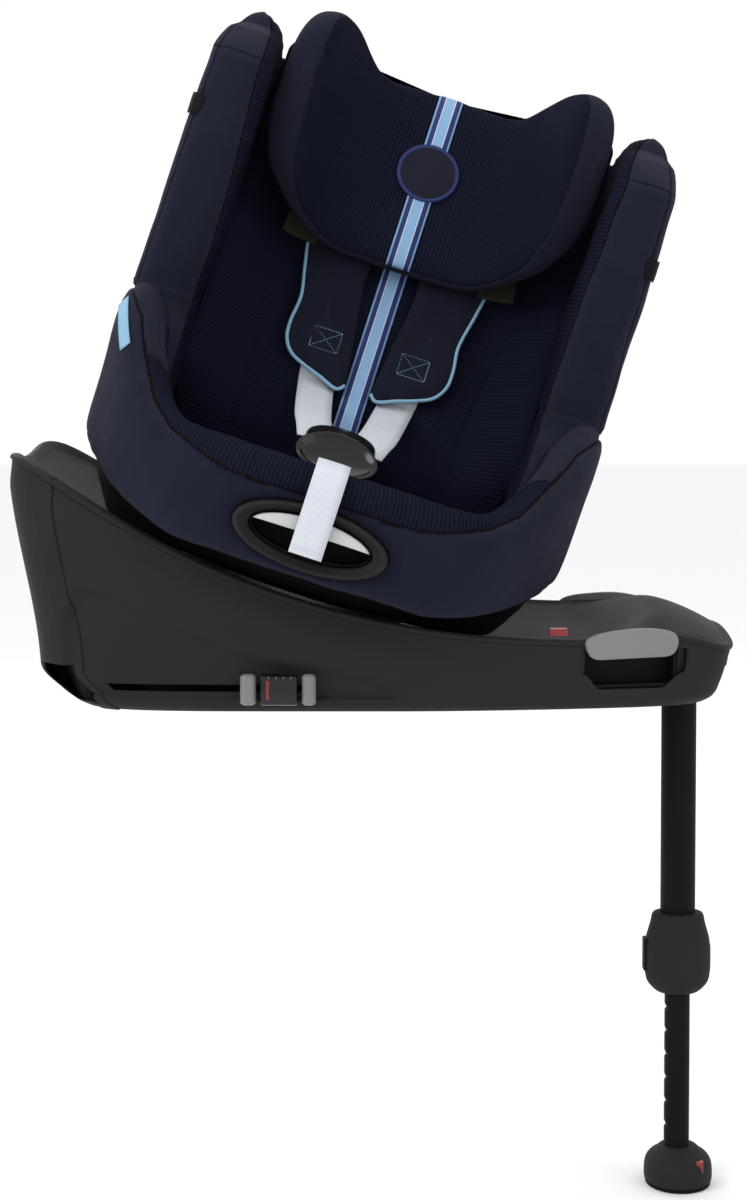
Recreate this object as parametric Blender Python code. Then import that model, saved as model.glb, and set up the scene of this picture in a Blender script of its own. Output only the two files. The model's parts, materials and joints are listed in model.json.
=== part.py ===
"""Convertible swivel car seat on a base with a support leg.

World frame, metres: +X towards the front of the car, +Y away from the door side, +Z up.
The origin is the centre of the base's flat underside.

The seat stands on a swivel whose axis leans towards +X by SWIVEL_TILT. Everything above the swivel is
modelled in the SEAT frame: x to the sitter's left, y backwards, z up along the swivel axis, origin where
the axis meets the bowl of the base. The seat faces the door side (-Y).
The BACK frame leans with the backrest: z up along it, y out through it.
"""

import math

import bmesh
import bpy
import numpy as np
from mathutils import Matrix, Vector

# ---------------------------------------------------------------- driving dimensions
SWIVEL_TILT = math.radians(18)
AXIS_FOOT = Vector((-0.077, 0.0, 0.079))  # where the swivel axis meets the bowl
BOWL_RADIUS = 0.75  # the bowl of the base is part of one large sphere
BACK_LEAN = math.radians(22)
BACK_FOOT = Vector((0.0, 0.020, 0.120))  # backrest meets the seat pan, SEAT frame
RECLINE_HEIGHT = 0.42  # the recline turns about this height on the swivel axis
GAP = 0.0006  # between pieces that rest on each other
CLEAR = 0.0012  # between pieces that move on each other

BASE_REAR_LOW, BASE_REAR_HIGH = -0.262, -0.318
BASE_FRONT_LOW, BASE_FRONT_HIGH = 0.303, 0.318
BASE_WIDTH_LOW, BASE_WIDTH_HIGH = 0.168, 0.173  # half widths
BASE_CORNER_POWER = 6.0
BASE_WALL = 0.003
COVER_EDGE = 0.004
WELL_RADIUS = 0.116  # hole in the bowl that the turntable fills
DECK_HEIGHT = 0.080
DECK_CROWN = 0.85  # fall of the deck for each metre squared from its middle

TURNTABLE_RADIUS = 0.112
HUB_RADIUS = 0.045

LEG_PIVOT = Vector((0.2815, 0.0, 0.014))
LEG_TUBE_RADIUS = 0.016
LEG_INNER_RADIUS = 0.0118
LEG_SLOT_REAR = 0.128
BORE_TURN = 0.07  # turns a bore's facets off those of the piece round it
LEG_SLOT_FRONT = 0.2988
FOOT_BOTTOM = -0.465

ISOFIX_Y = 0.140  # half the 280 mm anchor spacing

SHELL_WALL = 0.005

# ---------------------------------------------------------------- scene and materials
for old in list(bpy.data.objects):
    bpy.data.objects.remove(old)


def material(name, colour, roughness, metallic=0.0):
    made = bpy.data.materials.new(name)
    made.use_nodes = True
    shader = made.node_tree.nodes["Principled BSDF"]
    shader.inputs["Base Color"].default_value = (*colour, 1.0)
    shader.inputs["Roughness"].default_value = roughness
    shader.inputs["Metallic"].default_value = metallic
    made.diffuse_color = (*colour, 1.0)
    return made


CHARCOAL = material("charcoal_plastic", (0.035, 0.035, 0.036), 0.55)
BLACK = material("black_plastic", (0.015, 0.015, 0.016), 0.5)
GREY = material("grey_plastic", (0.23, 0.23, 0.23), 0.5)
PALE = material("pale_plastic", (0.62, 0.61, 0.59), 0.45)
RED = material("red_plastic", (0.42, 0.03, 0.03), 0.4)
STEEL = material("zinc_steel", (0.55, 0.56, 0.58), 0.35, 1.0)
PAINTED = material("painted_tube", (0.012, 0.012, 0.013), 0.35)
RUBBER = material("sole_rubber", (0.02, 0.02, 0.02), 0.8)
NAVY = material("navy_fabric", (0.012, 0.013, 0.028), 0.9)
MESH_NAVY = material("navy_mesh", (0.008, 0.009, 0.022), 0.95)
WHITE = material("white_webbing", (0.62, 0.64, 0.72), 0.8)

SEAT = Matrix.Translation(AXIS_FOOT) @ Matrix.Rotation(SWIVEL_TILT, 4, "Y")
BACK = SEAT @ Matrix.Translation(BACK_FOOT) @ Matrix.Rotation(-BACK_LEAN, 4, "X")
WORLD = Matrix.Identity(4)


# ---------------------------------------------------------------- shape helpers
def smooth(low, high, value):
    """0 below low, 1 above high, a smooth ramp between."""
    t = min(1.0, max(0.0, (value - low) / (high - low)))
    return t * t * (3 - 2 * t)


def lerp(a, b, t):
    return a + (b - a) * t


def along(table, value):
    """Linear value of a small table of (key, value) pairs."""
    keys, values = zip(*table)
    return float(np.interp(value, keys, values))


def place(mesh, name, paint, frame):
    piece = bpy.data.objects.new(name, mesh)
    bpy.context.scene.collection.objects.link(piece)
    piece.matrix_world = frame
    mesh.materials.clear()
    mesh.materials.append(paint)
    mesh.shade_smooth()
    mesh.set_sharp_from_angle(angle=math.radians(35))
    return piece


def finish_mesh(bm, name):
    bmesh.ops.remove_doubles(bm, verts=bm.verts, dist=1e-6)
    bmesh.ops.recalc_face_normals(bm, faces=bm.faces)
    mesh = bpy.data.meshes.new(name)
    bm.to_mesh(mesh)
    bm.free()
    return mesh


def cap(bm, ring):
    """Closes a ring with a fan round its middle."""
    middle = bm.verts.new(sum((v.co for v in ring), Vector()) / len(ring))
    for a, b in zip(ring, ring[1:] + ring[:1]):
        bm.faces.new((a, b, middle))


def loft(name, rings, paint, frame=WORLD, endless=False, flat_caps=False):
    """A solid through equal rings of points, closed at both ends, or back on itself when endless."""
    bm = bmesh.new()
    made = [[bm.verts.new(p) for p in ring] for ring in rings]
    pairs = list(zip(made, made[1:]))
    if endless:
        pairs.append((made[-1], made[0]))
    for lower, upper in pairs:
        for i in range(len(lower)):
            j = (i + 1) % len(lower)
            bm.faces.new((lower[i], lower[j], upper[j], upper[i]))
    if not endless:
        for ring in (made[0], made[-1]):
            if flat_caps:
                bm.faces.new(ring)
            else:
                cap(bm, ring)
    return place(finish_mesh(bm, name), name, paint, frame)


def block(name, low, high, paint, frame=WORLD, bevel=0.0):
    """A box from one corner to the other, with its edges bevelled."""
    bm = bmesh.new()
    bmesh.ops.create_cube(bm, size=1.0)
    low, high = Vector(low), Vector(high)
    size = high - low
    bmesh.ops.scale(bm, vec=size, verts=bm.verts)
    bmesh.ops.translate(bm, vec=(low + high) / 2, verts=bm.verts)
    if bevel:
        bmesh.ops.bevel(bm, geom=bm.edges[:], offset=bevel, segments=1, affect="EDGES")
    return place(finish_mesh(bm, name), name, paint, frame)


def circle(radius, z, count, centre=(0.0, 0.0), stretch=1.0, start=0.0):
    """A ring of points round Z; stretch is the y radius over the x radius."""
    angles = [start + 2 * math.pi * i / count for i in range(count)]
    return [
        Vector((centre[0] + radius * math.cos(a), centre[1] + radius * stretch * math.sin(a), z)) for a in angles
    ]


def turned(name, profile, paint, frame=WORLD, count=32, endless=False):
    """A turned solid from (radius, z) pairs; endless for a profile that goes round a hole."""
    return loft(name, [circle(r, z, count) for r, z in profile], paint, frame, endless)


def rod(name, start, end, radius, paint, frame=WORLD, count=12):
    """A straight round bar between two points."""
    start, end = Vector(start), Vector(end)
    turn = (end - start).to_track_quat("Z", "Y").to_matrix().to_4x4()
    local = Matrix.Translation(start) @ turn
    rings = [[local @ p for p in circle(radius, z, count)] for z in (0.0, (end - start).length)]
    return loft(name, rings, paint, frame)


def oval(half_x, front, back, z, count, power):
    """A superellipse ring, from y = front to y = back, half_x wide on each side."""
    ring = []
    for i in range(count):
        a = 2 * math.pi * i / count
        c, s = math.cos(a), math.sin(a)
        x = math.copysign(abs(c) ** (2 / power), c) * half_x
        y = math.copysign(abs(s) ** (2 / power), s)
        ring.append(Vector((x, lerp(front, back, (y + 1) / 2), z)))
    return ring


def cut(target, *cutters):
    """Cuts the cutters out of the target. They stay as hidden guides."""
    for cutter in cutters:
        cutter.hide_render = True
        cutter.display_type = "WIRE"
        boolean = target.modifiers.new("cut", "BOOLEAN")
        boolean.operation = "DIFFERENCE"
        boolean.object = cutter
    return target


def join(target, *others):
    """Joins the other shapes to the target, as one moulding."""
    for other in others:
        other.hide_render = True
        other.display_type = "WIRE"
        boolean = target.modifiers.new("join", "BOOLEAN")
        boolean.operation = "UNION"
        boolean.object = other
    return target


# ---------------------------------------------------------------- base surfaces
SPHERE_CENTRE = AXIS_FOOT + BOWL_RADIUS * Vector((math.sin(SWIVEL_TILT), 0, math.cos(SWIVEL_TILT)))


def axis_distance(x, y, z):
    """Distance of a world point from the swivel axis."""
    local = SEAT.inverted() @ Vector((x, y, z))
    return math.hypot(local.x, local.y)


def base_top(x, y):
    """Height of the base's top: the bowl, and the raised deck in front of it."""
    bowl = SPHERE_CENTRE.z - math.sqrt(BOWL_RADIUS**2 - (x - SPHERE_CENTRE.x) ** 2 - y * y)
    nose = max(0.0, (x - 0.250) / (BASE_FRONT_HIGH - 0.250))
    deck = DECK_HEIGHT - 0.026 * nose**1.6 - DECK_CROWN * y * y
    share = smooth(0.285, 0.335, axis_distance(x, y, bowl)) * smooth(0.0, 0.1, x)
    return lerp(bowl, deck, share)


def base_edge(angle, z, inset=0.0):
    """Plan point of the base's side at a height: a superellipse that narrows to the front and leans out."""
    low = smooth(0.0, 0.05, z)
    rise = 0.5 * smooth(0.0, 0.035, z) + 0.5 * smooth(0.02, 0.22, z)
    rear = lerp(BASE_REAR_LOW, BASE_REAR_HIGH, rise) + inset
    front = lerp(BASE_FRONT_LOW, BASE_FRONT_HIGH, low) - inset
    width = lerp(BASE_WIDTH_LOW, BASE_WIDTH_HIGH, low) - inset
    c, s = math.cos(angle), math.sin(angle)
    reach = (abs(c) ** BASE_CORNER_POWER + abs(s) ** BASE_CORNER_POWER) ** (-1 / BASE_CORNER_POWER)
    x = lerp(rear, front, (reach * c + 1) / 2)
    taper = 1 - 0.16 * smooth(0.02, 0.32, x)
    return x, width * taper * reach * s


def rim_height(angle):
    """Height of the base's top at its edge in one direction."""
    z = 0.1
    for _ in range(6):
        z = base_top(*base_edge(angle, z))
    return z


BASE_ANGLES = [2 * math.pi * (i + 0.5) / 48 for i in range(48)]


def side_ring(share, inset, drop=0.0, floor=None):
    """A ring on the base's side, at a share of the rim's height, or at one height where floor is given."""
    ring = []
    for a in BASE_ANGLES:
        z = rim_height(a) * share - drop if floor is None else floor
        ring.append(Vector((*base_edge(a, z, inset), z)))
    return ring


# ---------------------------------------------------------------- base, fixed parts
def base_parts():
    lower = loft(
        "base_lower_shell",
        [
            side_ring(0, 0.007, floor=0.0),
            side_ring(0, 0.001, floor=0.006),
            side_ring(0.5, 0.0),
            side_ring(1.0, 0.0, drop=COVER_EDGE + GAP),
            side_ring(1.0, BASE_WALL, drop=COVER_EDGE + GAP),
            side_ring(0.5, BASE_WALL),
            side_ring(0, BASE_WALL + 0.004, floor=BASE_WALL),
        ],
        CHARCOAL,
    )
    pocket_low, pocket_high = (-0.0435, -0.02, -0.0245), (0.0435, 0.02, 0.0095)
    cuts = [block("pocket_cut", pocket_low, pocket_high, BLACK, handle_frame(side)) for side in (-1, 1)]
    cuts += [block("leg_slot_cut", (LEG_SLOT_REAR, -0.021, -0.01), (LEG_SLOT_FRONT, 0.021, 0.02), BLACK)]
    for side in (-1, 1):
        y = sorted((side * (ISOFIX_Y - 0.0150), side * (ISOFIX_Y + 0.0150)))
        cuts.append(block("latch_cut", (-0.40, y[0], 0.0055), (-0.200, y[1], 0.040), BLACK))
        y = sorted((side * 0.150, side * 0.2))
        cuts.append(block("slider_cut", (-0.2340, y[0], 0.0178), (-0.058, y[1], 0.0242), BLACK))
    cut(lower, *cuts)

    rings = []
    rim = side_ring(1.0, 0.0)
    hub = []
    for p in rim:
        a = math.atan2(p.y, p.x - AXIS_FOOT.x)
        r = WELL_RADIUS
        hub.append(SEAT @ Vector((r * math.cos(a), r * math.sin(a), r * r / 2 / BOWL_RADIUS)))
    for t in (0.0, 0.2, 0.45, 0.7, 0.88, 1.0):
        ring = []
        for inner, outer in zip(hub, rim):
            p = inner.lerp(outer, t)
            ring.append(Vector((p.x, p.y, base_top(p.x, p.y))))
        rings.append(ring)
    under = [[p - Vector((0, 0, BASE_WALL)) for p in ring] for ring in rings[:-1]]
    lip = [p - Vector((0, 0, COVER_EDGE)) for p in rings[-1]]
    inset_lip = [p - Vector((0, 0, COVER_EDGE)) for p in side_ring(1.0, BASE_WALL)]
    loft("base_upper_cover", [*rings, lip, inset_lip, *under[::-1]], CHARCOAL, endless=True)

    floor = BASE_WALL + GAP
    plate = block("chassis_plate", (-0.20, -0.112, floor), (0.230, 0.112, floor + 0.003), STEEL)
    cut(plate, block("chassis_leg_cut", (LEG_SLOT_REAR - 0.004, -0.0215, 0.0), (0.24, 0.0215, 0.02), BLACK))
    bracket = block("leg_bracket", (0.236, -0.0420, floor), (0.2940, 0.0420, 0.0400), STEEL)
    gap_cut = block("bracket_gap", (0.20, -0.0205, -0.01), (0.32, 0.0205, 0.05), BLACK)
    sides_cut = [
        block("bracket_side", (0.20, s * 0.0330 - 0.0090, 0.0070), (0.32, s * 0.0330 + 0.0090, 0.05), BLACK)
        for s in (-1, 1)
    ]
    bridge = block("bracket_bridge", (0.237, -0.0240, 0.0370), (0.2930, 0.0240, 0.0400), STEEL)
    pin_ends = [(LEG_PIVOT.x, s * 0.05, LEG_PIVOT.z) for s in (-1, 1)]
    cut(bracket, gap_cut, *sides_cut, rod("bracket_hole", *pin_ends, 0.0056, BLACK))
    join(bracket, bridge)
    for side in (-1, 1):
        release_pocket(side, "near" if side < 0 else "far")
    rod("leg_pivot_pin", (LEG_PIVOT.x, -0.0290, LEG_PIVOT.z), (LEG_PIVOT.x, 0.0290, LEG_PIVOT.z), 0.0048, STEEL)

    foot = [Vector((p.x - 0.084, p.y, floor + 0.0036)) for p in circle(0.098, 0, 32)]
    foot_in = [Vector((p.x - 0.084, p.y, floor + 0.0036)) for p in circle(0.092, 0, 32)]
    top = [SEAT @ p for p in circle(0.094, -0.010, 32)]
    top_in = [SEAT @ p for p in circle(HUB_RADIUS + CLEAR, -0.010, 32)]
    under_in = [SEAT @ p for p in circle(HUB_RADIUS + CLEAR, -0.0285, 32)]
    under_out = [SEAT @ p for p in circle(0.087, -0.0285, 32)]
    loft("swivel_pedestal", [foot, top, top_in, under_in, under_out, foot_in], CHARCOAL, endless=True)
    turned("bearing_ring", [(0.060, -0.0094), (0.090, -0.0094), (0.090, 0.0), (0.060, 0.0)], STEEL, SEAT, endless=True)

    lens = Vector((0.1590, -0.1555, 0.0680))
    block("lock_indicator", lens - Vector((0.0075, 0.0045, 0.0030)), lens + Vector((0.0075, 0.0035, 0.0030)), RED)


def handle_frame(side):
    """Frame of a release handle: x along the base's side, y out of it, z up."""
    ends = [Vector((x, side * side_width(x, 0.045), 0.0)) for x in (0.178, 0.265)]
    run = (ends[1] - ends[0]).normalized() * side
    out = Vector((-run.y, run.x, 0))
    frame = Matrix((run, out, Vector((0, 0, 1)))).transposed().to_4x4()
    return Matrix.Translation((ends[0] + ends[1]) / 2 + Vector((0, 0, 0.0425))) @ frame


def side_width(x, z):
    """Half width of the base at one place along it."""
    angles = np.linspace(0.02, math.pi - 0.02, 400)
    points = [base_edge(a, z) for a in angles]
    return float(np.interp(x, [p[0] for p in points[::-1]], [p[1] for p in points[::-1]]))


def release_pocket(side, name):
    """The dark cup behind a release handle, open to the outside."""
    frame = handle_frame(side)
    cup = block(f"release_pocket_{name}", (-0.0425, -0.0215, -0.0235), (0.0425, -0.0015, 0.0085), BLACK, frame)
    cut(cup, block("cup_cut", (-0.0400, -0.0185, -0.0210), (0.0400, 0.01, 0.0060), BLACK, frame))


def release_handle(side, name):
    """Grey lever over the upper half of the pocket."""
    outline = [
        (-0.0435, 0.004), (-0.0375, -0.013), (0.0385, -0.011), (0.0435, 0.004),
        (0.0380, 0.0100), (0.0125, 0.0150), (-0.0295, 0.0100),
    ]
    rings = [[Vector((side * x, y, z + 0.0135)) for x, z in outline] for y in (0.0018, 0.0062)]
    loft(f"release_handle_{name}", rings, GREY, handle_frame(side))


# ---------------------------------------------------------------- anchor arms with their sliders
def anchor_arm(side, name):
    """One anchor arm: a steel bar with a jaw at its rear end and a slider outside the base."""
    y = ISOFIX_Y * side
    bar = block(f"anchor_arm_{name}", (-0.1640, y - 0.006, 0.0120), (-0.040, y + 0.006, 0.0300), STEEL)
    stem_y = sorted((y + side * 0.004, side * 0.1765))
    join(bar, block("arm_stem", (-0.0950, stem_y[0], 0.0190), (-0.0670, stem_y[1], 0.0230), STEEL))
    jaw = block(f"anchor_jaw_{name}", (-0.2220, y - 0.0120, 0.0085), (-0.1646, y + 0.0120, 0.0375), CHARCOAL)
    cut(jaw, block("jaw_mouth", (-0.26, y - 0.02, 0.0140), (-0.1960, y + 0.02, 0.0240), BLACK))
    cut(jaw, block("jaw_slot", (-0.26, y - 0.0045, 0.0235), (-0.1750, y + 0.0045, 0.045), BLACK))
    block(f"latch_hook_{name}", (-0.2180, y - 0.0035, 0.0255), (-0.1770, y + 0.0035, 0.0345), STEEL)

    inner, outer = side * 0.1771, side * 0.1850
    ys = sorted((inner, outer))
    body = block(f"arm_slider_{name}", (-0.0965, ys[0], 0.0080), (-0.0645, ys[1], 0.0350), BLACK, bevel=0.0012)
    mid = (inner + outer) / 2
    cut(body, block("plunger_cut", (-0.11, mid - 0.0022, 0.0150), (-0.05, mid + 0.0022, 0.0270), BLACK))
    for end, x0, x1, tip in (("rear", -0.1135, -0.1000, -0.0925), ("front", -0.0610, -0.0490, -0.0685)):
        knob = block(f"squeeze_button_{end}_{name}", (x0, ys[0], 0.0078), (x1, ys[1] + 0.0 * side, 0.0352), GREY, bevel=0.0012)
        span = sorted((tip, (x0 + x1) / 2))
        join(knob, block("plunger", (span[0], mid - 0.0012, 0.0165), (span[1], mid + 0.0012, 0.0255), GREY))


# ---------------------------------------------------------------- support leg
def support_leg():
    x = LEG_PIVOT.x
    outer = loft(
        "leg_outer_tube",
        [
            circle(LEG_TUBE_RADIUS, 0.0225, 20, (x, 0)),
            circle(LEG_TUBE_RADIUS, -0.2240, 20, (x, 0)),
            circle(LEG_TUBE_RADIUS - 0.0022, -0.2240, 20, (x, 0)),
            circle(LEG_TUBE_RADIUS - 0.0022, 0.0225, 20, (x, 0)),
        ],
        PAINTED,
        endless=True,
    )
    pivot = (Vector((x, -0.05, LEG_PIVOT.z)), Vector((x, 0.05, LEG_PIVOT.z)))
    cut(outer, rod("tube_pin_hole", *pivot, 0.0056, BLACK))

    collar = loft(
        "leg_collar",
        [
            circle(rx, z, 20, (x, 0), ry / rx)
            for z, rx, ry in (
                (-0.2115, 0.0190, 0.0190),
                (-0.2240, 0.0275, 0.0240),
                (-0.2350, 0.0300, 0.0255),
                (-0.2680, 0.0300, 0.0255),
                (-0.2790, 0.0240, 0.0215),
                (-0.2856, 0.0165, 0.0160),
            )
        ],
        CHARCOAL,
    )
    bore = loft(
        "collar_bore",
        [
            circle(r, z, 20, (x, 0), start=BORE_TURN)
            for r, z in ((0.0166, -0.20), (0.0166, -0.2248), (LEG_INNER_RADIUS + CLEAR, -0.2248), (LEG_INNER_RADIUS + CLEAR, -0.30))
        ],
        BLACK,
    )
    button_seat = block("button_seat", (x - 0.04, -0.0085, -0.2660), (x - 0.0240, 0.0085, -0.2340), BLACK)
    cut(collar, bore, button_seat)
    block("leg_lock_button", (x - 0.0320, -0.0075, -0.2650), (x - 0.0275, 0.0075, -0.2350), BLACK, bevel=0.001)

    inner = loft("leg_inner_tube", [circle(LEG_INNER_RADIUS, z, 16, (x, 0)) for z in (-0.1950, -0.4480)], PAINTED)
    holes = [
        rod("notch", (x - 0.02, 0, z), (x - 0.0070, 0, z), 0.0030, BLACK, count=8)
        for z in (-0.300 - 0.022 * i for i in range(6))
    ]
    cut(inner, *holes)

    foot = loft(
        "leg_foot",
        [
            circle(rx, z, 24, (x + 0.0015, 0), ry / rx)
            for z, rx, ry in (
                (-0.4300, 0.0160, 0.0160),
                (-0.4360, 0.0260, 0.0290),
                (-0.4460, 0.0300, 0.0360),
                (-0.4560, 0.0310, 0.0370),
                (-0.4615, 0.0285, 0.0345),
            )
        ],
        CHARCOAL,
    )
    bore = [circle(LEG_INNER_RADIUS + GAP, z, 16, (x, 0), start=BORE_TURN) for z in (-0.42, -0.4486)]
    cut(foot, loft("foot_bore", bore, BLACK))
    cut(foot, block("lens_seat", (x + 0.0140, -0.030, -0.4480), (x + 0.0225, -0.016, -0.4300), BLACK))
    sole = [circle(r, z, 24, (x + 0.0015, 0), 1.2) for r, z in ((0.0285, -0.4621), (0.0280, FOOT_BOTTOM))]
    loft("foot_sole", sole, RUBBER)
    block("foot_indicator", (x + 0.0148, -0.0292, -0.4472), (x + 0.0217, -0.0205, -0.4375), RED)


# ---------------------------------------------------------------- swivel and carrier
def swivel_parts():
    disc = [(HUB_RADIUS, -0.0302), (HUB_RADIUS, 0.0006), (TURNTABLE_RADIUS, 0.0006), (TURNTABLE_RADIUS, 0.0100), (0.100, 0.0120)]
    turned("turntable", disc, BLACK, SEAT, count=40)
    turned("swivel_retainer", [(0.052, -0.0308), (0.052, -0.0350)], STEEL, SEAT)

    turned("carrier_plate", [(0.104, 0.0126), (0.104, 0.0180), (0.098, 0.0205)], CHARCOAL, SEAT, count=40)
    for side in (-1, 1):
        name = "left" if side > 0 else "right"
        x = side * 0.055
        rings = []
        for degrees in np.linspace(-15, 15, 13):
            a = math.radians(float(degrees))
            ring = []
            for dx, radius in ((-0.006, 0.384), (0.006, 0.384), (0.006, 0.396), (-0.006, 0.396)):
                z = RECLINE_HEIGHT - radius * math.cos(a)
                ring.append(Vector((x + dx, radius * math.sin(a), z)))
            rings.append(ring)
        rail = loft(f"recline_rail_{name}", rings, STEEL, SEAT)
        join(rail, block("rail_foot", (x - 0.006, -0.07, 0.0211), (x + 0.006, 0.07, 0.0290), STEEL, SEAT))


# ---------------------------------------------------------------- recline handle in its oval bezel
BEZEL_CENTRE = Vector((0.0, 0.079))  # x and height, SEAT frame
BEZEL_HALF = Vector((0.0665, 0.0265))
BEZEL_INSIDE = Vector((0.0535, 0.0185))
BEZEL_FACE = -0.2440


def lying_ring(half, y, count=32):
    """An ellipse that faces the front."""
    angles = [2 * math.pi * i / count for i in range(count)]
    return [
        Vector((BEZEL_CENTRE.x + half.x * math.cos(a), y, BEZEL_CENTRE.y + half.y * math.sin(a))) for a in angles
    ]


def lying_oval(name, half, front, back):
    return loft(name, [lying_ring(half, y) for y in (front, back)], BLACK, SEAT)


def recline_handle():
    tapered = BEZEL_HALF - Vector((0.003, 0.003))
    bezel = [
        (tapered, BEZEL_FACE),
        (BEZEL_HALF, BEZEL_FACE + 0.004),
        (BEZEL_HALF, -0.2010),
        (BEZEL_INSIDE, -0.2010),
        (BEZEL_INSIDE, BEZEL_FACE),
    ]
    loft("handle_bezel", [lying_ring(half, y) for half, y in bezel], CHARCOAL, SEAT, endless=True)
    outside = BEZEL_INSIDE - Vector((GAP, GAP))
    inside = outside - Vector((0.002, 0.002))
    cup = [(inside, -0.2045), (inside, -0.2270), (outside, -0.2270), (outside, -0.2025)]
    loft("handle_cup", [lying_ring(half, y) for half, y in cup], BLACK, SEAT)
    reach = BEZEL_INSIDE - Vector((CLEAR, CLEAR))
    arc = []
    for degrees in range(12, 169, 12):
        a = math.radians(degrees)
        arc.append((BEZEL_CENTRE.x + reach.x * math.cos(a), BEZEL_CENTRE.y + reach.y * math.sin(a)))
    rings = [[Vector((x, y, z)) for x, z in arc] for y in (-0.2420, -0.2330)]
    loft("recline_lever", rings, PALE, SEAT, flat_caps=True)


# ---------------------------------------------------------------- seat shell
TUB_LEVELS = (
    # height, half width, front, back
    (0.026, 0.178, -0.150, 0.140),
    (0.060, 0.200, -0.180, 0.168),
    (0.095, 0.214, -0.192, 0.182),
    (0.128, 0.219, -0.196, 0.186),
)
TUB_POWER = 2.6
TUB_MIDDLE = -0.005  # where the tub is widest


def tub_ring(height, inset):
    heights = [level[0] for level in TUB_LEVELS]
    half, front, back = (float(np.interp(height, heights, [level[k] for level in TUB_LEVELS])) for k in (1, 2, 3))
    return oval(half - inset, front + inset, back - inset, height, 40, TUB_POWER)


def seat_tub():
    """The lower half of the shell: a bucket on the recline rails."""
    outside = [tub_ring(level[0], 0.0) for level in TUB_LEVELS]
    inside = [tub_ring(z, SHELL_WALL) for z in (0.128, 0.095, 0.060)]
    shell = loft("seat_tub", [*outside, *inside], CHARCOAL, SEAT)
    # underside: an arch round the recline axis clears the rails, the front and side skirts stay
    arch = []
    for y in np.linspace(-0.135, 0.25, 12):
        z = RECLINE_HEIGHT - math.sqrt(0.3755**2 - float(y) ** 2)
        arch.append([Vector((x, float(y), h)) for x, h in ((-0.165, -0.05), (0.165, -0.05), (0.165, z), (-0.165, z))])
    cut(shell, loft("underside_arch", arch, BLACK, SEAT))
    skirt_line = Matrix.Translation((0, 0, 0.036)) @ Matrix.Rotation(math.atan(0.06), 4, "X")
    cut(shell, block("skirt_trim", (-0.3, -0.3, -0.1), (0.3, 0.3, 0.0), BLACK, SEAT @ skirt_line))
    cut(shell, lying_oval("grip_hole", BEZEL_HALF + Vector((CLEAR, CLEAR)), -0.30, -0.12))
    for side in (-1, 1):
        name = "left" if side > 0 else "right"
        x = side * 0.055
        shoe = block(f"recline_shoe_{name}", (x - 0.011, -0.045, 0.0300), (x + 0.011, 0.045, 0.0480), BLACK, SEAT)
        groove = []
        for degrees in np.linspace(-16, 16, 13):
            a = math.radians(float(degrees))
            groove.append(
                [
                    Vector((x + dx, radius * math.sin(a), RECLINE_HEIGHT - radius * math.cos(a)))
                    for dx, radius in ((-0.0068, 0.3832), (0.0068, 0.3832), (0.0068, 0.420), (-0.0068, 0.420))
                ]
            )
        top_trim = []
        for degrees in np.linspace(-16, 16, 13):
            a = math.radians(float(degrees))
            top_trim.append(
                [
                    Vector((x + dx, radius * math.sin(a), RECLINE_HEIGHT - radius * math.cos(a)))
                    for dx, radius in ((-0.03, 0.340), (0.03, 0.340), (0.03, 0.3762), (-0.03, 0.3762))
                ]
            )
        cut(shoe, loft("shoe_groove", groove, BLACK, SEAT), loft("shoe_trim", top_trim, BLACK, SEAT))


# ---------------------------------------------------------------- covers and pads
def tub_point(angle, half_x, front, z):
    """A point of the seat's surround: angle 0 at the front middle, positive towards +x."""
    c, s = math.cos(angle), math.sin(angle)
    x = math.copysign(abs(s) ** (2 / TUB_POWER), s) * half_x
    return Vector((x, lerp(TUB_MIDDLE, front, abs(c) ** (2 / TUB_POWER)), z))


def surround_top(angle):
    """Height of the padded edge: low at the front, high at the hips."""
    return 0.136 + 0.100 * smooth(math.radians(30), math.radians(88), abs(angle))


def surround_bottom(angle):
    return 0.046 + 0.052 * smooth(math.radians(20), math.radians(85), abs(angle))


def hip_surround():
    """The padded surround of the seat, from hip to hip, outside the tub's wall and over its edge."""
    start, end, steps = -88, 88, 28
    rings = []
    for i in range(steps + 1):
        a = math.radians(lerp(start, end, i / steps))
        low, high = surround_bottom(a), surround_top(a)
        ring = [
            tub_point(a, 0.2195, -0.2150, low),
            tub_point(a, 0.2260, -0.2330, lerp(low, high, 0.45)),
            tub_point(a, 0.2250, -0.2360, high - 0.016),
            tub_point(a, 0.2170, -0.2270, high),
            tub_point(a, 0.1900, -0.1980, high - 0.002),
            tub_point(a, 0.1750, -0.1830, max(high - 0.022, 0.1310)),
            tub_point(a, 0.1750, -0.1830, 0.1292),
            tub_point(a, 0.2205, -0.1975, 0.1292),
            tub_point(a, 0.2202, -0.1972, low),
        ]
        rings.append(ring)
    surround = loft("hip_surround", rings, NAVY, SEAT)
    cut(surround, lying_oval("bezel_cut", BEZEL_HALF + Vector((CLEAR, CLEAR)), -0.30, -0.12))


def back_line(height):
    """How far back the front of the backrest is at a height, SEAT frame."""
    return BACK_FOOT.y + (height - BACK_FOOT.z) * math.tan(BACK_LEAN)


BACKREST_LEVELS = (
    # height, half width, front edge of the sides, back
    (0.1290, 0.2190, 0.010, 0.187),
    (0.2350, 0.2190, 0.010, 0.194),
    (0.3800, 0.2170, 0.012, 0.212),
    (0.4550, 0.2110, 0.030, 0.224),
    (0.4850, 0.2040, 0.055, 0.229),
    (0.4960, 0.1900, 0.090, 0.231),
)


def backrest_level(height):
    heights = [level[0] for level in BACKREST_LEVELS]
    return [float(np.interp(height, heights, [level[k] for level in BACKREST_LEVELS])) for k in (1, 2, 3)]


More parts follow.
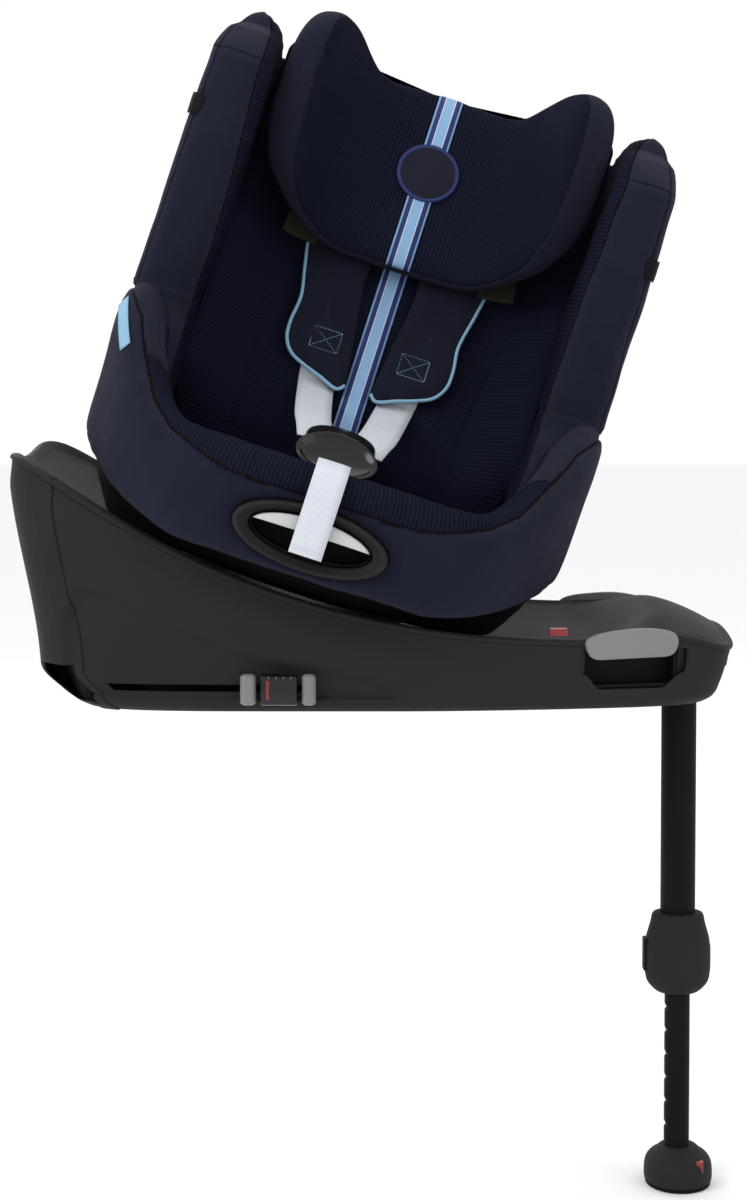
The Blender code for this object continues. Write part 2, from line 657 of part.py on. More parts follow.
def u_path(half, front, back, corner, height):
    """The plan of a wall round the back, from the right side's front edge to the left side's."""
    path = [(-half, front)]
    for start, centre_x in ((180, -half + corner), (90, half - corner)):
        for degrees in range(0, 91, 18):
            a = math.radians(start - degrees)
            path.append((centre_x + corner * math.cos(a), back - corner + corner * math.sin(a)))
    path.append((half, front))
    return [Vector((x, y, height)) for x, y in path]


def backrest_shell():
    rings = []
    for height, half, front, back in BACKREST_LEVELS:
        outside = u_path(half, front, back, 0.075, height)
        inside = u_path(half - SHELL_WALL, front, back - SHELL_WALL, 0.070, height)
        rings.append([*outside, *inside[::-1]])
    loft("backrest_shell", rings, CHARCOAL, SEAT, flat_caps=True)


WING_INSIDE = 0.1650  # inner faces of the wings, clear of the headrest


def wing(side, name):
    """A padded wing: a thick pad inside the shell's side, round its front edge, with a skin outside."""
    rings = []
    for height in (0.2385, 0.30, 0.38, 0.455, 0.485, 0.4955):
        half, front, back = backrest_level(height)
        shrink = 0.012 * smooth(0.470, 0.4955, height)
        nose = front - 0.052 + shrink * 2
        pad_back = min(back_line(height) + 0.024, back - 0.082)
        points = (
            (half + GAP, front + 0.070),
            (half + 0.005, front + 0.070),
            (half + 0.005, nose + 0.020),
            (half - 0.004, nose + 0.003),
            ((half + WING_INSIDE) / 2, nose),
            (WING_INSIDE + 0.005, nose + 0.010),
            (WING_INSIDE, nose + 0.032),
            (WING_INSIDE, pad_back),
            (half - SHELL_WALL - GAP, pad_back),
            (half - SHELL_WALL - GAP, front - GAP),
            (half + GAP, front - GAP),
        )
        rings.append([Vector((side * x, y, height)) for x, y in points])
    loft(f"wing_pad_{name}", rings, NAVY, SEAT, flat_caps=True)


def cushions():
    seat = [oval(half, front, back, z, 28, 2.2) for half, front, back, z in (
        (0.150, -0.160, 0.020, 0.0606),
        (0.166, -0.172, 0.034, 0.0950),
        (0.166, -0.172, 0.034, 0.1140),
        (0.152, -0.158, 0.022, 0.1220),
    )]
    loft("seat_cushion", seat, NAVY, SEAT)
    back = [oval(half, front, 0.028, z, 28, 4.0) for half, front, z in (
        (0.128, 0.006, 0.012),
        (0.138, 0.000, 0.030),
        (0.150, 0.000, 0.200),
        (0.150, 0.000, 0.385),
        (0.140, 0.006, 0.398),
    )]
    loft("back_cushion", back, NAVY, BACK)


# ---------------------------------------------------------------- headrest, BACK frame
HEADREST_HALF = 0.1610


def headrest_wrap(x):
    """How far the headrest comes forward at a distance from its middle."""
    return 0.105 * smooth(0.055, HEADREST_HALF, abs(x))


def headrest_ends(x):
    """Lowest and highest point of the headrest there."""
    low = 0.222 + 0.030 * smooth(0.08, 0.15, abs(x))
    high = 0.398 - 0.012 * smooth(0.10, HEADREST_HALF, abs(x))
    return low, high


def headrest_section(x, front, back, shrink):
    """A rounded section of the headrest in the YZ plane."""
    low, high = headrest_ends(x)
    low += shrink
    high -= shrink
    return [
        Vector((x, back, low + 0.010)), Vector((x, front + 0.006, low)), Vector((x, front, low + 0.014)),
        Vector((x, front - 0.003, (low + high) / 2)), Vector((x, front, high - 0.014)),
        Vector((x, front + 0.006, high)), Vector((x, back, high - 0.010)),
    ]


def headrest():
    stations = [HEADREST_HALF * k / 9 for k in range(-9, 10)]
    cushion = []
    for x in stations:
        end = smooth(0.12, HEADREST_HALF, abs(x))
        back = -0.0100 - headrest_wrap(x)
        cushion.append(headrest_section(x, back - 0.032 + 0.018 * end, back, 0.035 * end * end))
    loft("headrest_cushion", cushion, MESH_NAVY, BACK)
    panel = []
    for x in stations[1:-1]:
        back = -0.0035 - headrest_wrap(x)
        low, high = headrest_ends(x)
        end = smooth(0.12, HEADREST_HALF, abs(x))
        low += 0.020 + 0.035 * end * end
        high -= 0.020 + 0.035 * end * end
        front = back - 0.0058
        panel.append([Vector((x, y, z)) for y, z in ((back, low), (front, low), (front, high), (back, high))])
    loft("headrest_shell", panel, CHARCOAL, BACK, flat_caps=True)
    block("headrest_lever", (-0.030, -0.0092, 0.3795), (0.030, -0.0036, 0.3890), GREY, BACK, bevel=0.0010)


# ---------------------------------------------------------------- harness
def strap(name, path, half, paint, frame, thick=0.0016):
    """A flat strap along a path of (x, y, z) points, its width along x."""
    rings = []
    points = [Vector(p) for p in path]
    for i, p in enumerate(points):
        run = (points[min(i + 1, len(points) - 1)] - points[max(i - 1, 0)]).normalized()
        across = Vector((1, 0, 0)) - run * run.x
        across.normalize()
        out = run.cross(across).normalized() * thick / 2
        rings.append([p - across * half - out, p + across * half - out, p + across * half + out, p - across * half + out])
    loft(name, rings, paint, frame, flat_caps=True)


def harness():
    for side in (-1, 1):
        name = "left" if side > 0 else "right"
        path = (
            (side * 0.026, -0.0560, 0.1590), (side * 0.032, -0.0350, 0.1660),
            (side * 0.042, 0.0050, 0.1780),
        )
        low = [Vector(p) for p in path]
        lower = SEAT.inverted() @ BACK
        high = [lower @ Vector((side * x, -0.0026, z)) for x, z in ((0.048, 0.074), (0.056, 0.215))]
        strap(f"shoulder_strap_{name}", [*low, *high], 0.0165, WHITE, SEAT)
        pad = []
        for z, inner, outer in (
            (0.088, 0.030, 0.066), (0.096, 0.020, 0.076), (0.135, 0.018, 0.080),
            (0.185, 0.026, 0.084), (0.222, 0.030, 0.088),
        ):
            pad.append([Vector((side * x, y, z)) for x, y in (
                (inner, -0.0050), (inner, -0.0105), (outer, -0.0105), (outer, -0.0050))])
        loft(f"shoulder_pad_{name}", pad, NAVY, BACK, flat_caps=True)
    path = (
        (0, -0.1500, 0.1232), (0, -0.1680, 0.1300), (0, -0.1900, 0.1382), (0, -0.2240, 0.1398),
        (0, -0.2430, 0.1320), (0, -0.2478, 0.1150), (0, -0.2480, 0.0570),
    )
    strap("adjuster_strap", path, 0.0150, WHITE, SEAT)
    strap("crotch_strap", ((0, -0.1360, 0.1234), (0, -0.1285, 0.1262), (0, -0.1220, 0.1330)), 0.0150, BLACK, SEAT)
    housing = []
    for z, half_x, half_y in ((0.0, 0.020, 0.010), (0.006, 0.026, 0.013), (0.040, 0.033, 0.016), (0.052, 0.030, 0.015)):
        housing.append(circle(half_x, z, 20, (0, 0), half_y / half_x))
    buckle = SEAT @ Matrix.Translation((0, -0.1160, 0.1400)) @ Matrix.Rotation(math.radians(-72), 4, "X")
    body = loft("buckle_housing", housing, BLACK, buckle)
    cut(body, block("button_pocket", (-0.0155, -0.030, 0.006), (0.0155, -0.0110, 0.024), BLACK, buckle))
    block("buckle_button", (-0.0145, -0.0170, 0.0070), (0.0145, -0.0145, 0.0230), RED, buckle, bevel=0.0008)


# ---------------------------------------------------------------- the whole seat
base_parts()
for door_side, door_name in ((-1, "near"), (1, "far")):
    release_handle(door_side, door_name)
    anchor_arm(door_side, door_name)
support_leg()
swivel_parts()
seat_tub()
backrest_shell()
recline_handle()
hip_surround()
for body_side, body_name in ((-1, "right"), (1, "left")):
    wing(body_side, body_name)
cushions()
headrest()
harness()
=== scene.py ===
import json
import math

import bmesh
import bpy
import numpy as np
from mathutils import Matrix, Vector


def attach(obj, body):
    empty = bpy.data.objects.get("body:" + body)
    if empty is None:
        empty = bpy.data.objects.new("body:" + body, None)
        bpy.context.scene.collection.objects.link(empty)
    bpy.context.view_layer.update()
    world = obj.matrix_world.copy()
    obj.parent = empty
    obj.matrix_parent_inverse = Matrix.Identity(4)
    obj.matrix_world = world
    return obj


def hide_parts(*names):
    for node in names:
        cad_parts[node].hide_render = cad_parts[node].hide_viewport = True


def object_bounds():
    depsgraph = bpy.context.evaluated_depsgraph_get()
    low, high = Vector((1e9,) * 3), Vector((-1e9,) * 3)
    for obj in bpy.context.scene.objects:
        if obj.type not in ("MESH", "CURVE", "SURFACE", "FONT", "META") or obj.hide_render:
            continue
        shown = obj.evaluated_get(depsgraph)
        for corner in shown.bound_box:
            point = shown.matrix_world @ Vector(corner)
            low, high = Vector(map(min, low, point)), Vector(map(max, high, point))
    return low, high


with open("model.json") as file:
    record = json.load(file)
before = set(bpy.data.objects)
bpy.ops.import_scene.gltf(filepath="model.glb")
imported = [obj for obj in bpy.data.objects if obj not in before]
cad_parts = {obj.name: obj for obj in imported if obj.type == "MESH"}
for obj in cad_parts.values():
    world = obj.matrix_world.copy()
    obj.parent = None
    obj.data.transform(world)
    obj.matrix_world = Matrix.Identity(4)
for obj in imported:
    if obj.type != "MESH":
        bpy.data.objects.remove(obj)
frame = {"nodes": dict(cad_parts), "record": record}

bl_info = {
    "name": "Swivel Car Seat Finishes",
    "version": (1, 0, 0),
    "blender": (4, 5, 0),
    "location": "View3D > Sidebar > Car Seat",
    "description": "Covers, pads, webbing and mouldings of a swivelling child car seat",
    "category": "Add Mesh",
}

# ---------------------------------------------------------------- frames read from the model
JOINTS = {joint["name"]: joint for joint in frame["record"]["behaviour"]["joints"]}
AXIS_FOOT = np.array(JOINTS["seat_swivel"]["pos_m"])
SEAT_UP = np.array(JOINTS["seat_swivel"]["axis"])
BACK_UP = np.array(JOINTS["headrest_height"]["axis"])
REARWARD = np.array([0.0, 1.0, 0.0])  # backwards for the sitter at rest
SEAT_ACROSS = np.cross(REARWARD, SEAT_UP)
SEAT_TURN = np.column_stack([SEAT_ACROSS, REARWARD, SEAT_UP])
BACK_TURN = np.column_stack([SEAT_ACROSS, np.cross(BACK_UP, SEAT_ACROSS), BACK_UP])
BACK_FOOT = AXIS_FOOT + SEAT_TURN @ np.array([0.0, 0.020, 0.120])  # seat pan meets backrest
BACK_LEAN = math.atan2(BACK_UP[1], BACK_UP @ SEAT_UP)


def seat(points):
    """Points of the seat's own frame (x to the sitter's left, y rearward, z up the swivel axis), in the world."""
    return np.asarray(points, float) @ SEAT_TURN.T + AXIS_FOOT


def back(points):
    """Points of the backrest's frame (y out through the backrest, z up along it), in the world."""
    return np.asarray(points, float) @ BACK_TURN.T + BACK_FOOT


# ---------------------------------------------------------------- numbers and curves
def smooth(low, high, value):
    """0 below low, 1 above high, and the cubic 3t^2 - 2t^3 between."""
    t = np.clip((value - low) / (high - low), 0, 1)
    return t * t * (3 - 2 * t)


def mix(a, b, t):
    """a at 0, b at 1, and a straight line between."""
    return a + (b - a) * t


def hill(value, middle, width):
    """A bell of height 1: exp(-(distance / width)^2)."""
    return np.exp(-(((value - middle) / width) ** 2))


def spline(points, count, closed=False):
    """A Catmull-Rom curve through the points along axis 0: every stretch is the cubic whose end slopes are half the
    chord between its neighbours. Points may be any array, so a whole grid of curves is worked out at once."""
    points = np.asarray(points, float)
    n = len(points)
    t = np.linspace(0, n if closed else n - 1, count, endpoint=not closed)
    i = np.minimum(t.astype(int), n - 1 if closed else n - 2)
    f = (t - i).reshape(-1, *[1] * (points.ndim - 1))
    a, b, c, d = (points[(i + k) % n if closed else np.clip(i + k, 0, n - 1)] for k in (-1, 0, 1, 2))
    return 0.5 * (2 * b + (c - a) * f + (2 * a - 5 * b + 4 * c - d) * f**2 + (3 * b - a - 3 * c + d) * f**3)


def ripple(u, v, size, seed, waves=7):
    """Soft uneven wrinkles: a sum of sine waves in random seeded directions, about one size apart, from -1 to 1."""
    rng = np.random.default_rng(seed)
    total = np.zeros(np.broadcast(u, v).shape)
    for _ in range(waves):
        turn, phase = rng.uniform(0, math.tau, 2)
        pitch = size * rng.uniform(0.7, 1.6)
        total += np.sin((u * math.cos(turn) + v * math.sin(turn)) * math.tau / pitch + phase)
    return total / waves**0.5 / 1.5


def arc_lengths(points, axis, closed):
    """Running length along one axis of a grid, with one more value at the end where it closes on itself."""
    if closed:
        points = np.concatenate([points, np.take(points, [0], axis)], axis)
    steps = np.linalg.norm(np.diff(points, axis=axis), axis=-1)
    start = np.zeros_like(np.take(steps, [0], axis))
    return np.concatenate([start, np.cumsum(steps, axis)], axis)


def normals(points, closed_rows=False, closed_cols=False):
    """Unit normals of a grid: the cross product of its two tangents, turned to point away from its middle."""

    def tangent(axis, closed):
        """Difference between each point's two neighbours."""
        if closed:
            return np.roll(points, -1, axis) - np.roll(points, 1, axis)
        return np.gradient(points, axis=axis)

    n = np.cross(tangent(0, closed_rows), tangent(1, closed_cols))
    n /= np.linalg.norm(n, axis=-1, keepdims=True) + 1e-12
    out = ((points - points.mean((0, 1))) * n).sum(-1).mean()
    return n if out > 0 else -n


# ---------------------------------------------------------------- meshes
def make(name, points, body, slot, paints, closed_rows=False, closed_cols=False, caps=False, paint_of=None,
         replaces=(), sharp=None):
    """A mesh on a grid of points (rows, columns, 3), which may close on itself both ways. With caps, a fan round its
    middle closes the first and last row. paint_of gives each face its paint's number, and below zero leaves it out. The
    UV map 'cloth' holds lengths in metres: along a row from its middle, and down the columns' mean. Faces turn
    outwards by the sign of the volume."""
    rows, cols = points.shape[:2]
    r_count, c_count = rows - (not closed_rows), cols - (not closed_cols)
    r, c = np.meshgrid(np.arange(r_count), np.arange(c_count), indexing="ij")
    r2, c2 = (r + 1) % rows, (c + 1) % cols
    quads = np.stack([r * cols + c, r * cols + c2, r2 * cols + c2, r2 * cols + c], -1).reshape(-1, 4)
    u = arc_lengths(points, 1, closed_cols)
    u = u - u[:, -1:] / 2
    v = arc_lengths(points, 0, closed_rows).mean(1, keepdims=True) + 0 * u[:1]
    if closed_rows:
        u = np.concatenate([u, u[:1]], 0)
    corners = [(r, c), (r, c + 1), (r + 1, c + 1), (r + 1, c)]
    uv = np.stack([np.stack([u[i, j], v[i, j]], -1) for i, j in corners], 2).reshape(-1, 4, 2)
    vertices = points.reshape(-1, 3)
    paint_index = np.zeros(len(quads), np.int32) if paint_of is None else paint_of[:r_count, :c_count].ravel()
    kept = paint_index >= 0
    quads, uv, paint_index = quads[kept], uv[kept].reshape(-1, 2), paint_index[kept]
    faces = [tuple(q) for q in quads.tolist()]
    if caps:
        around = np.arange(cols)
        beside = (around + 1) % cols
        for ring, first in ((0, True), (rows - 1, False)):
            middle = len(vertices)
            vertices = np.vstack([vertices, points[ring].mean(0)])
            a, b = ring * cols + around, ring * cols + beside
            pair = (b, a) if first else (a, b)
            faces += [(int(x), int(y), middle) for x, y in zip(*pair)]
            flat = np.stack([u[ring, beside if first else around], v[ring, 0] + 0 * around], -1)
            uv = np.vstack([uv, np.repeat(flat, 3, 0)])
    mesh = bpy.data.meshes.new(name)
    mesh.from_pydata(vertices.tolist(), [], faces)
    mesh.uv_layers.new(name="cloth").data.foreach_set("uv", uv.astype(np.float32).ravel())
    volume = np.einsum("ij,ij->i", vertices[quads[:, 0]], np.cross(vertices[quads[:, 1]], vertices[quads[:, 2]]))
    volume += np.einsum("ij,ij->i", vertices[quads[:, 0]], np.cross(vertices[quads[:, 2]], vertices[quads[:, 3]]))
    if volume.sum() < 0:
        mesh.flip_normals()
    paints = paints if isinstance(paints, (list, tuple)) else [paints]
    for paint in paints:
        mesh.materials.append(material(paint))
    index = np.concatenate([paint_index, np.zeros(len(faces) - len(quads), np.int32)]).astype(np.int32)
    mesh.polygons.foreach_set("material_index", index)
    if not kept.all():
        drop_loose(mesh)
    mesh.shade_smooth()
    if sharp:
        mesh.set_sharp_from_angle(angle=math.radians(sharp))
    piece = bpy.data.objects.new(name, mesh)
    bpy.context.scene.collection.objects.link(piece)
    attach(piece, body)
    if replaces:
        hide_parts(*replaces)
    return piece


def drop_loose(mesh):
    """Vertices that no face uses are taken out."""
    work = bmesh.new()
    work.from_mesh(mesh)
    bmesh.ops.delete(work, geom=[v for v in work.verts if not v.link_faces], context="VERTS")
    work.to_mesh(mesh)
    work.free()


def thicken(piece, thickness):
    """A wall inwards from a sheet, by Solidify."""
    wall = piece.modifiers.new("Wall", "SOLIDIFY")
    wall.thickness, wall.offset, wall.use_rim = thickness, -1.0, True
    return piece


def dress(paint, *nodes):
    """The paint on kept CAD nodes."""
    for node in nodes:
        for place in frame["nodes"][node].material_slots:
            place.material = material(paint)


def rounded(corners, radius, steps=6):
    """A closed outline whose corners are arcs: each corner is the middle point of a quadratic curve that starts and
    ends a radius away along its sides."""
    corners = np.asarray(corners, float)
    before, after = np.roll(corners, 1, 0) - corners, np.roll(corners, -1, 0) - corners
    reach = np.broadcast_to(radius, len(corners))[:, None]
    a, b = (
        corners + d * np.minimum(reach / np.linalg.norm(d, axis=1, keepdims=True), 0.48) for d in (before, after)
    )
    t = np.linspace(0, 1, steps)[None, :, None]
    arc = a[:, None] * (1 - t) ** 2 + 2 * corners[:, None] * t * (1 - t) + b[:, None] * t**2
    return arc.reshape(-1, 2)


def turned(name, profile, centre, body, slot, paint, sides=48, squash=1.0, **more):
    """A turned piece about a vertical line: the (radius, height) profile carried round a circle, whose depth is
    squash times its width."""
    a = np.arange(sides) * math.tau / sides
    r, z = np.array(profile, float).T[:, :, None]
    points = np.stack([centre[0] + r * np.cos(a), centre[1] + r * squash * np.sin(a), centre[2] + z + 0 * a], -1)
    return make(name, points, body, slot, paint, closed_cols=True, caps=True, **more)


def domed(name, outline, layers, place, body, slot, paint, **more):
    """A plate from one closed outline (n, 2): each layer is a (scale, depth) pair, and gives a copy of the outline
    shrunk towards its middle at that depth along local y. The outline's own axes are local x and z."""
    outline = np.asarray(outline, float)
    middle = outline.mean(0)
    scale, depth = np.array(layers, float).T[:, :, None]
    x, z = (middle[k] + (outline[None, :, k] - middle[k]) * scale for k in (0, 1))
    points = place(np.stack([x, depth + 0 * x, z], -1))
    return make(name, points, body, slot, paint, closed_cols=True, caps=True, **more)


def ribbon(name, path, half, thick, across, body, slot, paint, **more):
    """A flat strap: a thin rectangle with rounded edges carried along a path. across is the direction of its width."""
    path = np.asarray(path, float)
    run = np.gradient(path, axis=0)
    run /= np.linalg.norm(run, axis=1, keepdims=True)
    side = across - run * (run @ across)[:, None]
    side /= np.linalg.norm(side, axis=1, keepdims=True)
    out = np.cross(run, side)
    w = np.array([-1, -0.5, 0, 0.5, 1, 1, 0.5, 0, -0.5, -1]) * half
    d = np.array([0.6, 1, 1, 1, 0.6, -0.6, -1, -1, -1, -0.6]) * thick / 2
    points = path[:, None] + side[:, None] * w[:, None] + out[:, None] * d[:, None]
    return make(name, points, body, slot, paint, closed_cols=True, caps=True, **more)


def rope(name, path, radius, body, slot, paint, sides=10, closed=False, **more):
    """A round bead: a circle carried along a path, turned with it."""
    path = np.asarray(path, float)
    run = np.roll(path, -1, 0) - np.roll(path, 1, 0) if closed else np.gradient(path, axis=0)
    run /= np.linalg.norm(run, axis=1, keepdims=True)
    side = np.cross(run, np.array([0.31, 0.17, 0.93]))
    side /= np.linalg.norm(side, axis=1, keepdims=True)
    out = np.cross(run, side)
    a = (np.arange(sides) * math.tau / sides)[:, None]
    points = path[:, None] + radius * (side[:, None] * np.cos(a) + out[:, None] * np.sin(a))
    return make(name, points, body, slot, paint, closed_rows=closed, closed_cols=True, caps=not closed, **more)


def stitches(name, path, pitch, body, paint, radius=0.0005):
    """A row of sewn stitches: one little spindle for every pitch along the path, three quarters of it long."""
    path = np.asarray(path, float)
    length = np.concatenate([[0], np.cumsum(np.linalg.norm(np.diff(path, axis=0), axis=1))])
    count = max(1, int(length[-1] / pitch))
    starts = np.arange(count) * length[-1] / count

    def at(s):
        """Points at lengths along the path."""
        return np.stack([np.interp(s, length, path[:, k]) for k in range(3)], -1)

    a, b = at(starts), at(starts + 0.75 * length[-1] / count)
    run = b - a
    run /= np.linalg.norm(run, axis=1, keepdims=True) + 1e-12
    side = np.cross(run, np.array([0.31, 0.17, 0.93]))
    side /= np.linalg.norm(side, axis=1, keepdims=True)
    out = np.cross(run, side)
    ring = [a, *[mix(a, b, 0.5) + radius * (side * math.cos(t) + out * math.sin(t)) for t in (0, 2.1, 4.2)], b]
    vertices = np.stack(ring, 1).reshape(-1, 3)
    one = np.array([[0, 2, 1], [0, 3, 2], [0, 1, 3], [4, 1, 2], [4, 2, 3], [4, 3, 1]])
    faces = (one[None] + 5 * np.arange(count)[:, None, None]).reshape(-1, 3)
    mesh = bpy.data.meshes.new(name)
    mesh.from_pydata(vertices.tolist(), [], faces.tolist())
    mesh.materials.append(material(paint))
    piece = bpy.data.objects.new(name, mesh)
    bpy.context.scene.collection.objects.link(piece)
    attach(piece, body)
    return piece


# ---------------------------------------------------------------- shader groups
def new_group(name, inputs, outputs):
    """An empty node group with float inputs {name: default}, a Vector input, and float outputs."""
    tree = bpy.data.node_groups.new(name, "ShaderNodeTree")
    tree.interface.new_socket(name="Vector", in_out="INPUT", socket_type="NodeSocketVector")
    for label, value in inputs.items():
        socket = tree.interface.new_socket(name=label, in_out="INPUT", socket_type="NodeSocketFloat")
        socket.default_value = value
    for label in outputs:
        tree.interface.new_socket(name=label, in_out="OUTPUT", socket_type="NodeSocketFloat")
    return tree, tree.nodes.new("NodeGroupInput"), tree.nodes.new("NodeGroupOutput")


def calc(tree, operation, *values, clamp=False):
    """A Math node; its values are sockets or numbers."""
    node = tree.nodes.new("ShaderNodeMath")
    node.operation, node.use_clamp = operation, clamp
    for socket, value in zip(node.inputs, values):
        if isinstance(value, (int, float)):
            socket.default_value = value
        else:
            tree.links.new(value, socket)
    return node.outputs[0]


def noise(tree, vector, scale, detail=3.0):
    """A Noise Texture's value; its scale is a socket or a number."""
    node = tree.nodes.new("ShaderNodeTexNoise")
    node.inputs["Detail"].default_value = detail
    tree.links.new(vector, node.inputs["Vector"])
    if isinstance(scale, (int, float)):
        node.inputs["Scale"].default_value = scale
    else:
        tree.links.new(scale, node.inputs["Scale"])
    return node.outputs[0]


def xy(tree, vector):
    """The x and y sockets of a vector."""
    node = tree.nodes.new("ShaderNodeSeparateXYZ")
    tree.links.new(vector, node.inputs[0])
    return node.outputs[0], node.outputs[1]


def waves(tree, coordinate, pitch):
    """sin of one turn for every pitch."""
    return calc(tree, "SINE", calc(tree, "MULTIPLY", calc(tree, "DIVIDE", coordinate, pitch), math.tau))


def build_groups():
    """Knit, spacer mesh, webbing and moulded grain: height and shade from the piece's own coordinates."""
    tree, inside, outside = new_group("Knit", {"Pitch": 0.0016}, ["Height", "Shade"])
    x, y = xy(tree, inside.outputs["Vector"])
    pitch = inside.outputs["Pitch"]
    bent = calc(tree, "ADD", x, calc(tree, "MULTIPLY", waves(tree, y, pitch), calc(tree, "MULTIPLY", pitch, 0.22)))
    loops = calc(tree, "MULTIPLY", calc(tree, "ABSOLUTE", waves(tree, bent, pitch)),
                 calc(tree, "ADD", calc(tree, "MULTIPLY", waves(tree, y, pitch), 0.3), 0.7))
    fuzz = noise(tree, inside.outputs["Vector"], 900.0)
    height = calc(tree, "ADD", calc(tree, "MULTIPLY", loops, 0.75), calc(tree, "MULTIPLY", fuzz, 0.5))
    tree.links.new(height, outside.inputs["Height"])
    cloudy = noise(tree, inside.outputs["Vector"], 14.0)
    # Shade: lighter on the raised loops and darker between them, which is painted shade, and an uneven tone from broad
    # noise
    shade = calc(tree, "ADD", calc(tree, "MULTIPLY", loops, 0.35), calc(tree, "MULTIPLY", cloudy, 0.55))
    tree.links.new(calc(tree, "ADD", shade, 0.50), outside.inputs["Shade"])

    tree, inside, outside = new_group("Spacer Mesh", {"Pitch": 0.0042}, ["Height", "Shade"])
    x, y = xy(tree, inside.outputs["Vector"])
    pitch = inside.outputs["Pitch"]
    rise = waves(tree, calc(tree, "ADD", x, calc(tree, "MULTIPLY", y, 0.62)), pitch)
    fall = waves(tree, calc(tree, "SUBTRACT", x, calc(tree, "MULTIPLY", y, 0.62)), pitch)
    net = calc(tree, "MULTIPLY", rise, fall)
    hole = calc(tree, "MULTIPLY", calc(tree, "SUBTRACT", net, 0.12), 2.4, clamp=True)
    fuzz = noise(tree, inside.outputs["Vector"], 700.0)
    solid = calc(tree, "SUBTRACT", calc(tree, "ADD", 1.0, calc(tree, "MULTIPLY", fuzz, 0.35)), hole)
    tree.links.new(solid, outside.inputs["Height"])
    cloudy = noise(tree, inside.outputs["Vector"], 11.0)
    # Shade: an uneven tone from broad noise, and darker in the holes, which is painted shade inside the mesh's holes
    shade = calc(tree, "SUBTRACT", calc(tree, "ADD", 0.95, calc(tree, "MULTIPLY", cloudy, 0.35)),
                 calc(tree, "MULTIPLY", hole, 0.72))
    tree.links.new(shade, outside.inputs["Shade"])

    tree, inside, outside = new_group("Webbing", {"Pitch": 0.0022}, ["Height", "Shade"])
    x, y = xy(tree, inside.outputs["Vector"])
    pitch = inside.outputs["Pitch"]
    ribs = calc(tree, "ABSOLUTE", waves(tree, x, calc(tree, "MULTIPLY", pitch, 2.0)))
    picks = waves(tree, calc(tree, "ADD", y, calc(tree, "MULTIPLY", ribs, calc(tree, "MULTIPLY", pitch, 0.3))), pitch)
    height = calc(tree, "ADD", calc(tree, "MULTIPLY", ribs, 0.6), calc(tree, "MULTIPLY", picks, 0.3))
    tree.links.new(height, outside.inputs["Height"])
    # Shade follows the height: painted shade in the hollows of the weave
    tree.links.new(calc(tree, "ADD", calc(tree, "MULTIPLY", height, 0.16), 0.90), outside.inputs["Shade"])

    tree, inside, outside = new_group("Moulded Grain", {"Size": 1500.0}, ["Height", "Shade", "Dull"])
    spark = tree.nodes.new("ShaderNodeTexVoronoi")
    tree.links.new(inside.outputs["Vector"], spark.inputs["Vector"])
    tree.links.new(inside.outputs["Size"], spark.inputs["Scale"])
    grain = noise(tree, inside.outputs["Vector"], inside.outputs["Size"])
    height = calc(tree, "ADD", calc(tree, "MULTIPLY", spark.outputs["Distance"], 0.7), grain)
    tree.links.new(height, outside.inputs["Height"])
    cloudy = noise(tree, inside.outputs["Vector"], 7.0)
    tree.links.new(calc(tree, "ADD", calc(tree, "MULTIPLY", cloudy, 0.30), 0.85), outside.inputs["Shade"])
    handled = noise(tree, inside.outputs["Vector"], 23.0, 5.0)
    dull = calc(tree, "ADD", calc(tree, "MULTIPLY", handled, 0.16), -0.08)
    tree.links.new(dull, outside.inputs["Dull"])


# ---------------------------------------------------------------- materials
# paint name: (group, its size, colour, roughness, bump depth, other shader values)
PAINTS = {
    "navy_knit": ("Knit", 0.0018, "fabric", 0.95, 0.0005, {"Specular IOR Level": 0.12, "Sheen Weight": 0.03}),
    "navy_mesh": ("Spacer Mesh", 0.0046, "mesh", 1.0, 0.0010, {"Specular IOR Level": 0.03}),
    # painted shade: a dark line laid along the seams' grooves, where shade falls
    "painted_seam_shade": ("Knit", 0.0012, "black", 0.95, 0.0003, {"Specular IOR Level": 0.03}),
    "pad_knit": ("Knit", 0.0014, "pad", 0.92, 0.0003, {"Specular IOR Level": 0.12, "Sheen Weight": 0.02}),
    "patch_felt": ("Knit", 0.0010, "pad", 0.8, 0.0002, {"Specular IOR Level": 0.2}),
    "ribbon_navy": ("Webbing", 0.0012, "ribbon_band", 0.6, 0.0002, {"Specular IOR Level": 0.3}),
    "white_web": ("Webbing", 0.0020, "webbing", 0.75, 0.0004, {"Specular IOR Level": 0.3}),
    "olive_web": ("Webbing", 0.0020, "loop", 0.85, 0.0004, {"Specular IOR Level": 0.1}),
    "black_web": ("Webbing", 0.0022, "black", 0.8, 0.0004, {"Specular IOR Level": 0.1}),
    "blue_cord": ("Webbing", 0.0012, "piping", 0.7, 0.0002, {"Specular IOR Level": 0.2}),
    "charcoal": ("Moulded Grain", 1600.0, "casing", 0.62, 0.00006, {"Specular IOR Level": 0.06}),
    "charcoal_satin": ("Moulded Grain", 900.0, "casing", 0.55, 0.00002, {"Specular IOR Level": 0.06}),
    "black_plastic": ("Moulded Grain", 1300.0, "black", 0.55, 0.00004, {"Specular IOR Level": 0.08}),
    "black_gloss": ("Moulded Grain", 500.0, "black", 0.18, 0.00001, {"Specular IOR Level": 0.35}),
    "grey_plastic": ("Moulded Grain", 1100.0, "grey", 0.42, 0.00003, {"Specular IOR Level": 0.3}),
    "pale_plastic": ("Moulded Grain", 900.0, "pale", 0.38, 0.00002, {}),
    "red_plastic": ("Moulded Grain", 700.0, "red", 0.3, 0.00001, {}),
    "zinc": ("Moulded Grain", 500.0, "zinc", 0.34, 0.00002, {"Metallic": 1.0}),
    "black_tube": ("Moulded Grain", 2200.0, "tube", 0.50, 0.00003, {"Specular IOR Level": 0.05}),
    "sole_rubber": ("Moulded Grain", 700.0, "black", 0.85, 0.0001, {"Specular IOR Level": 0.1}),
}


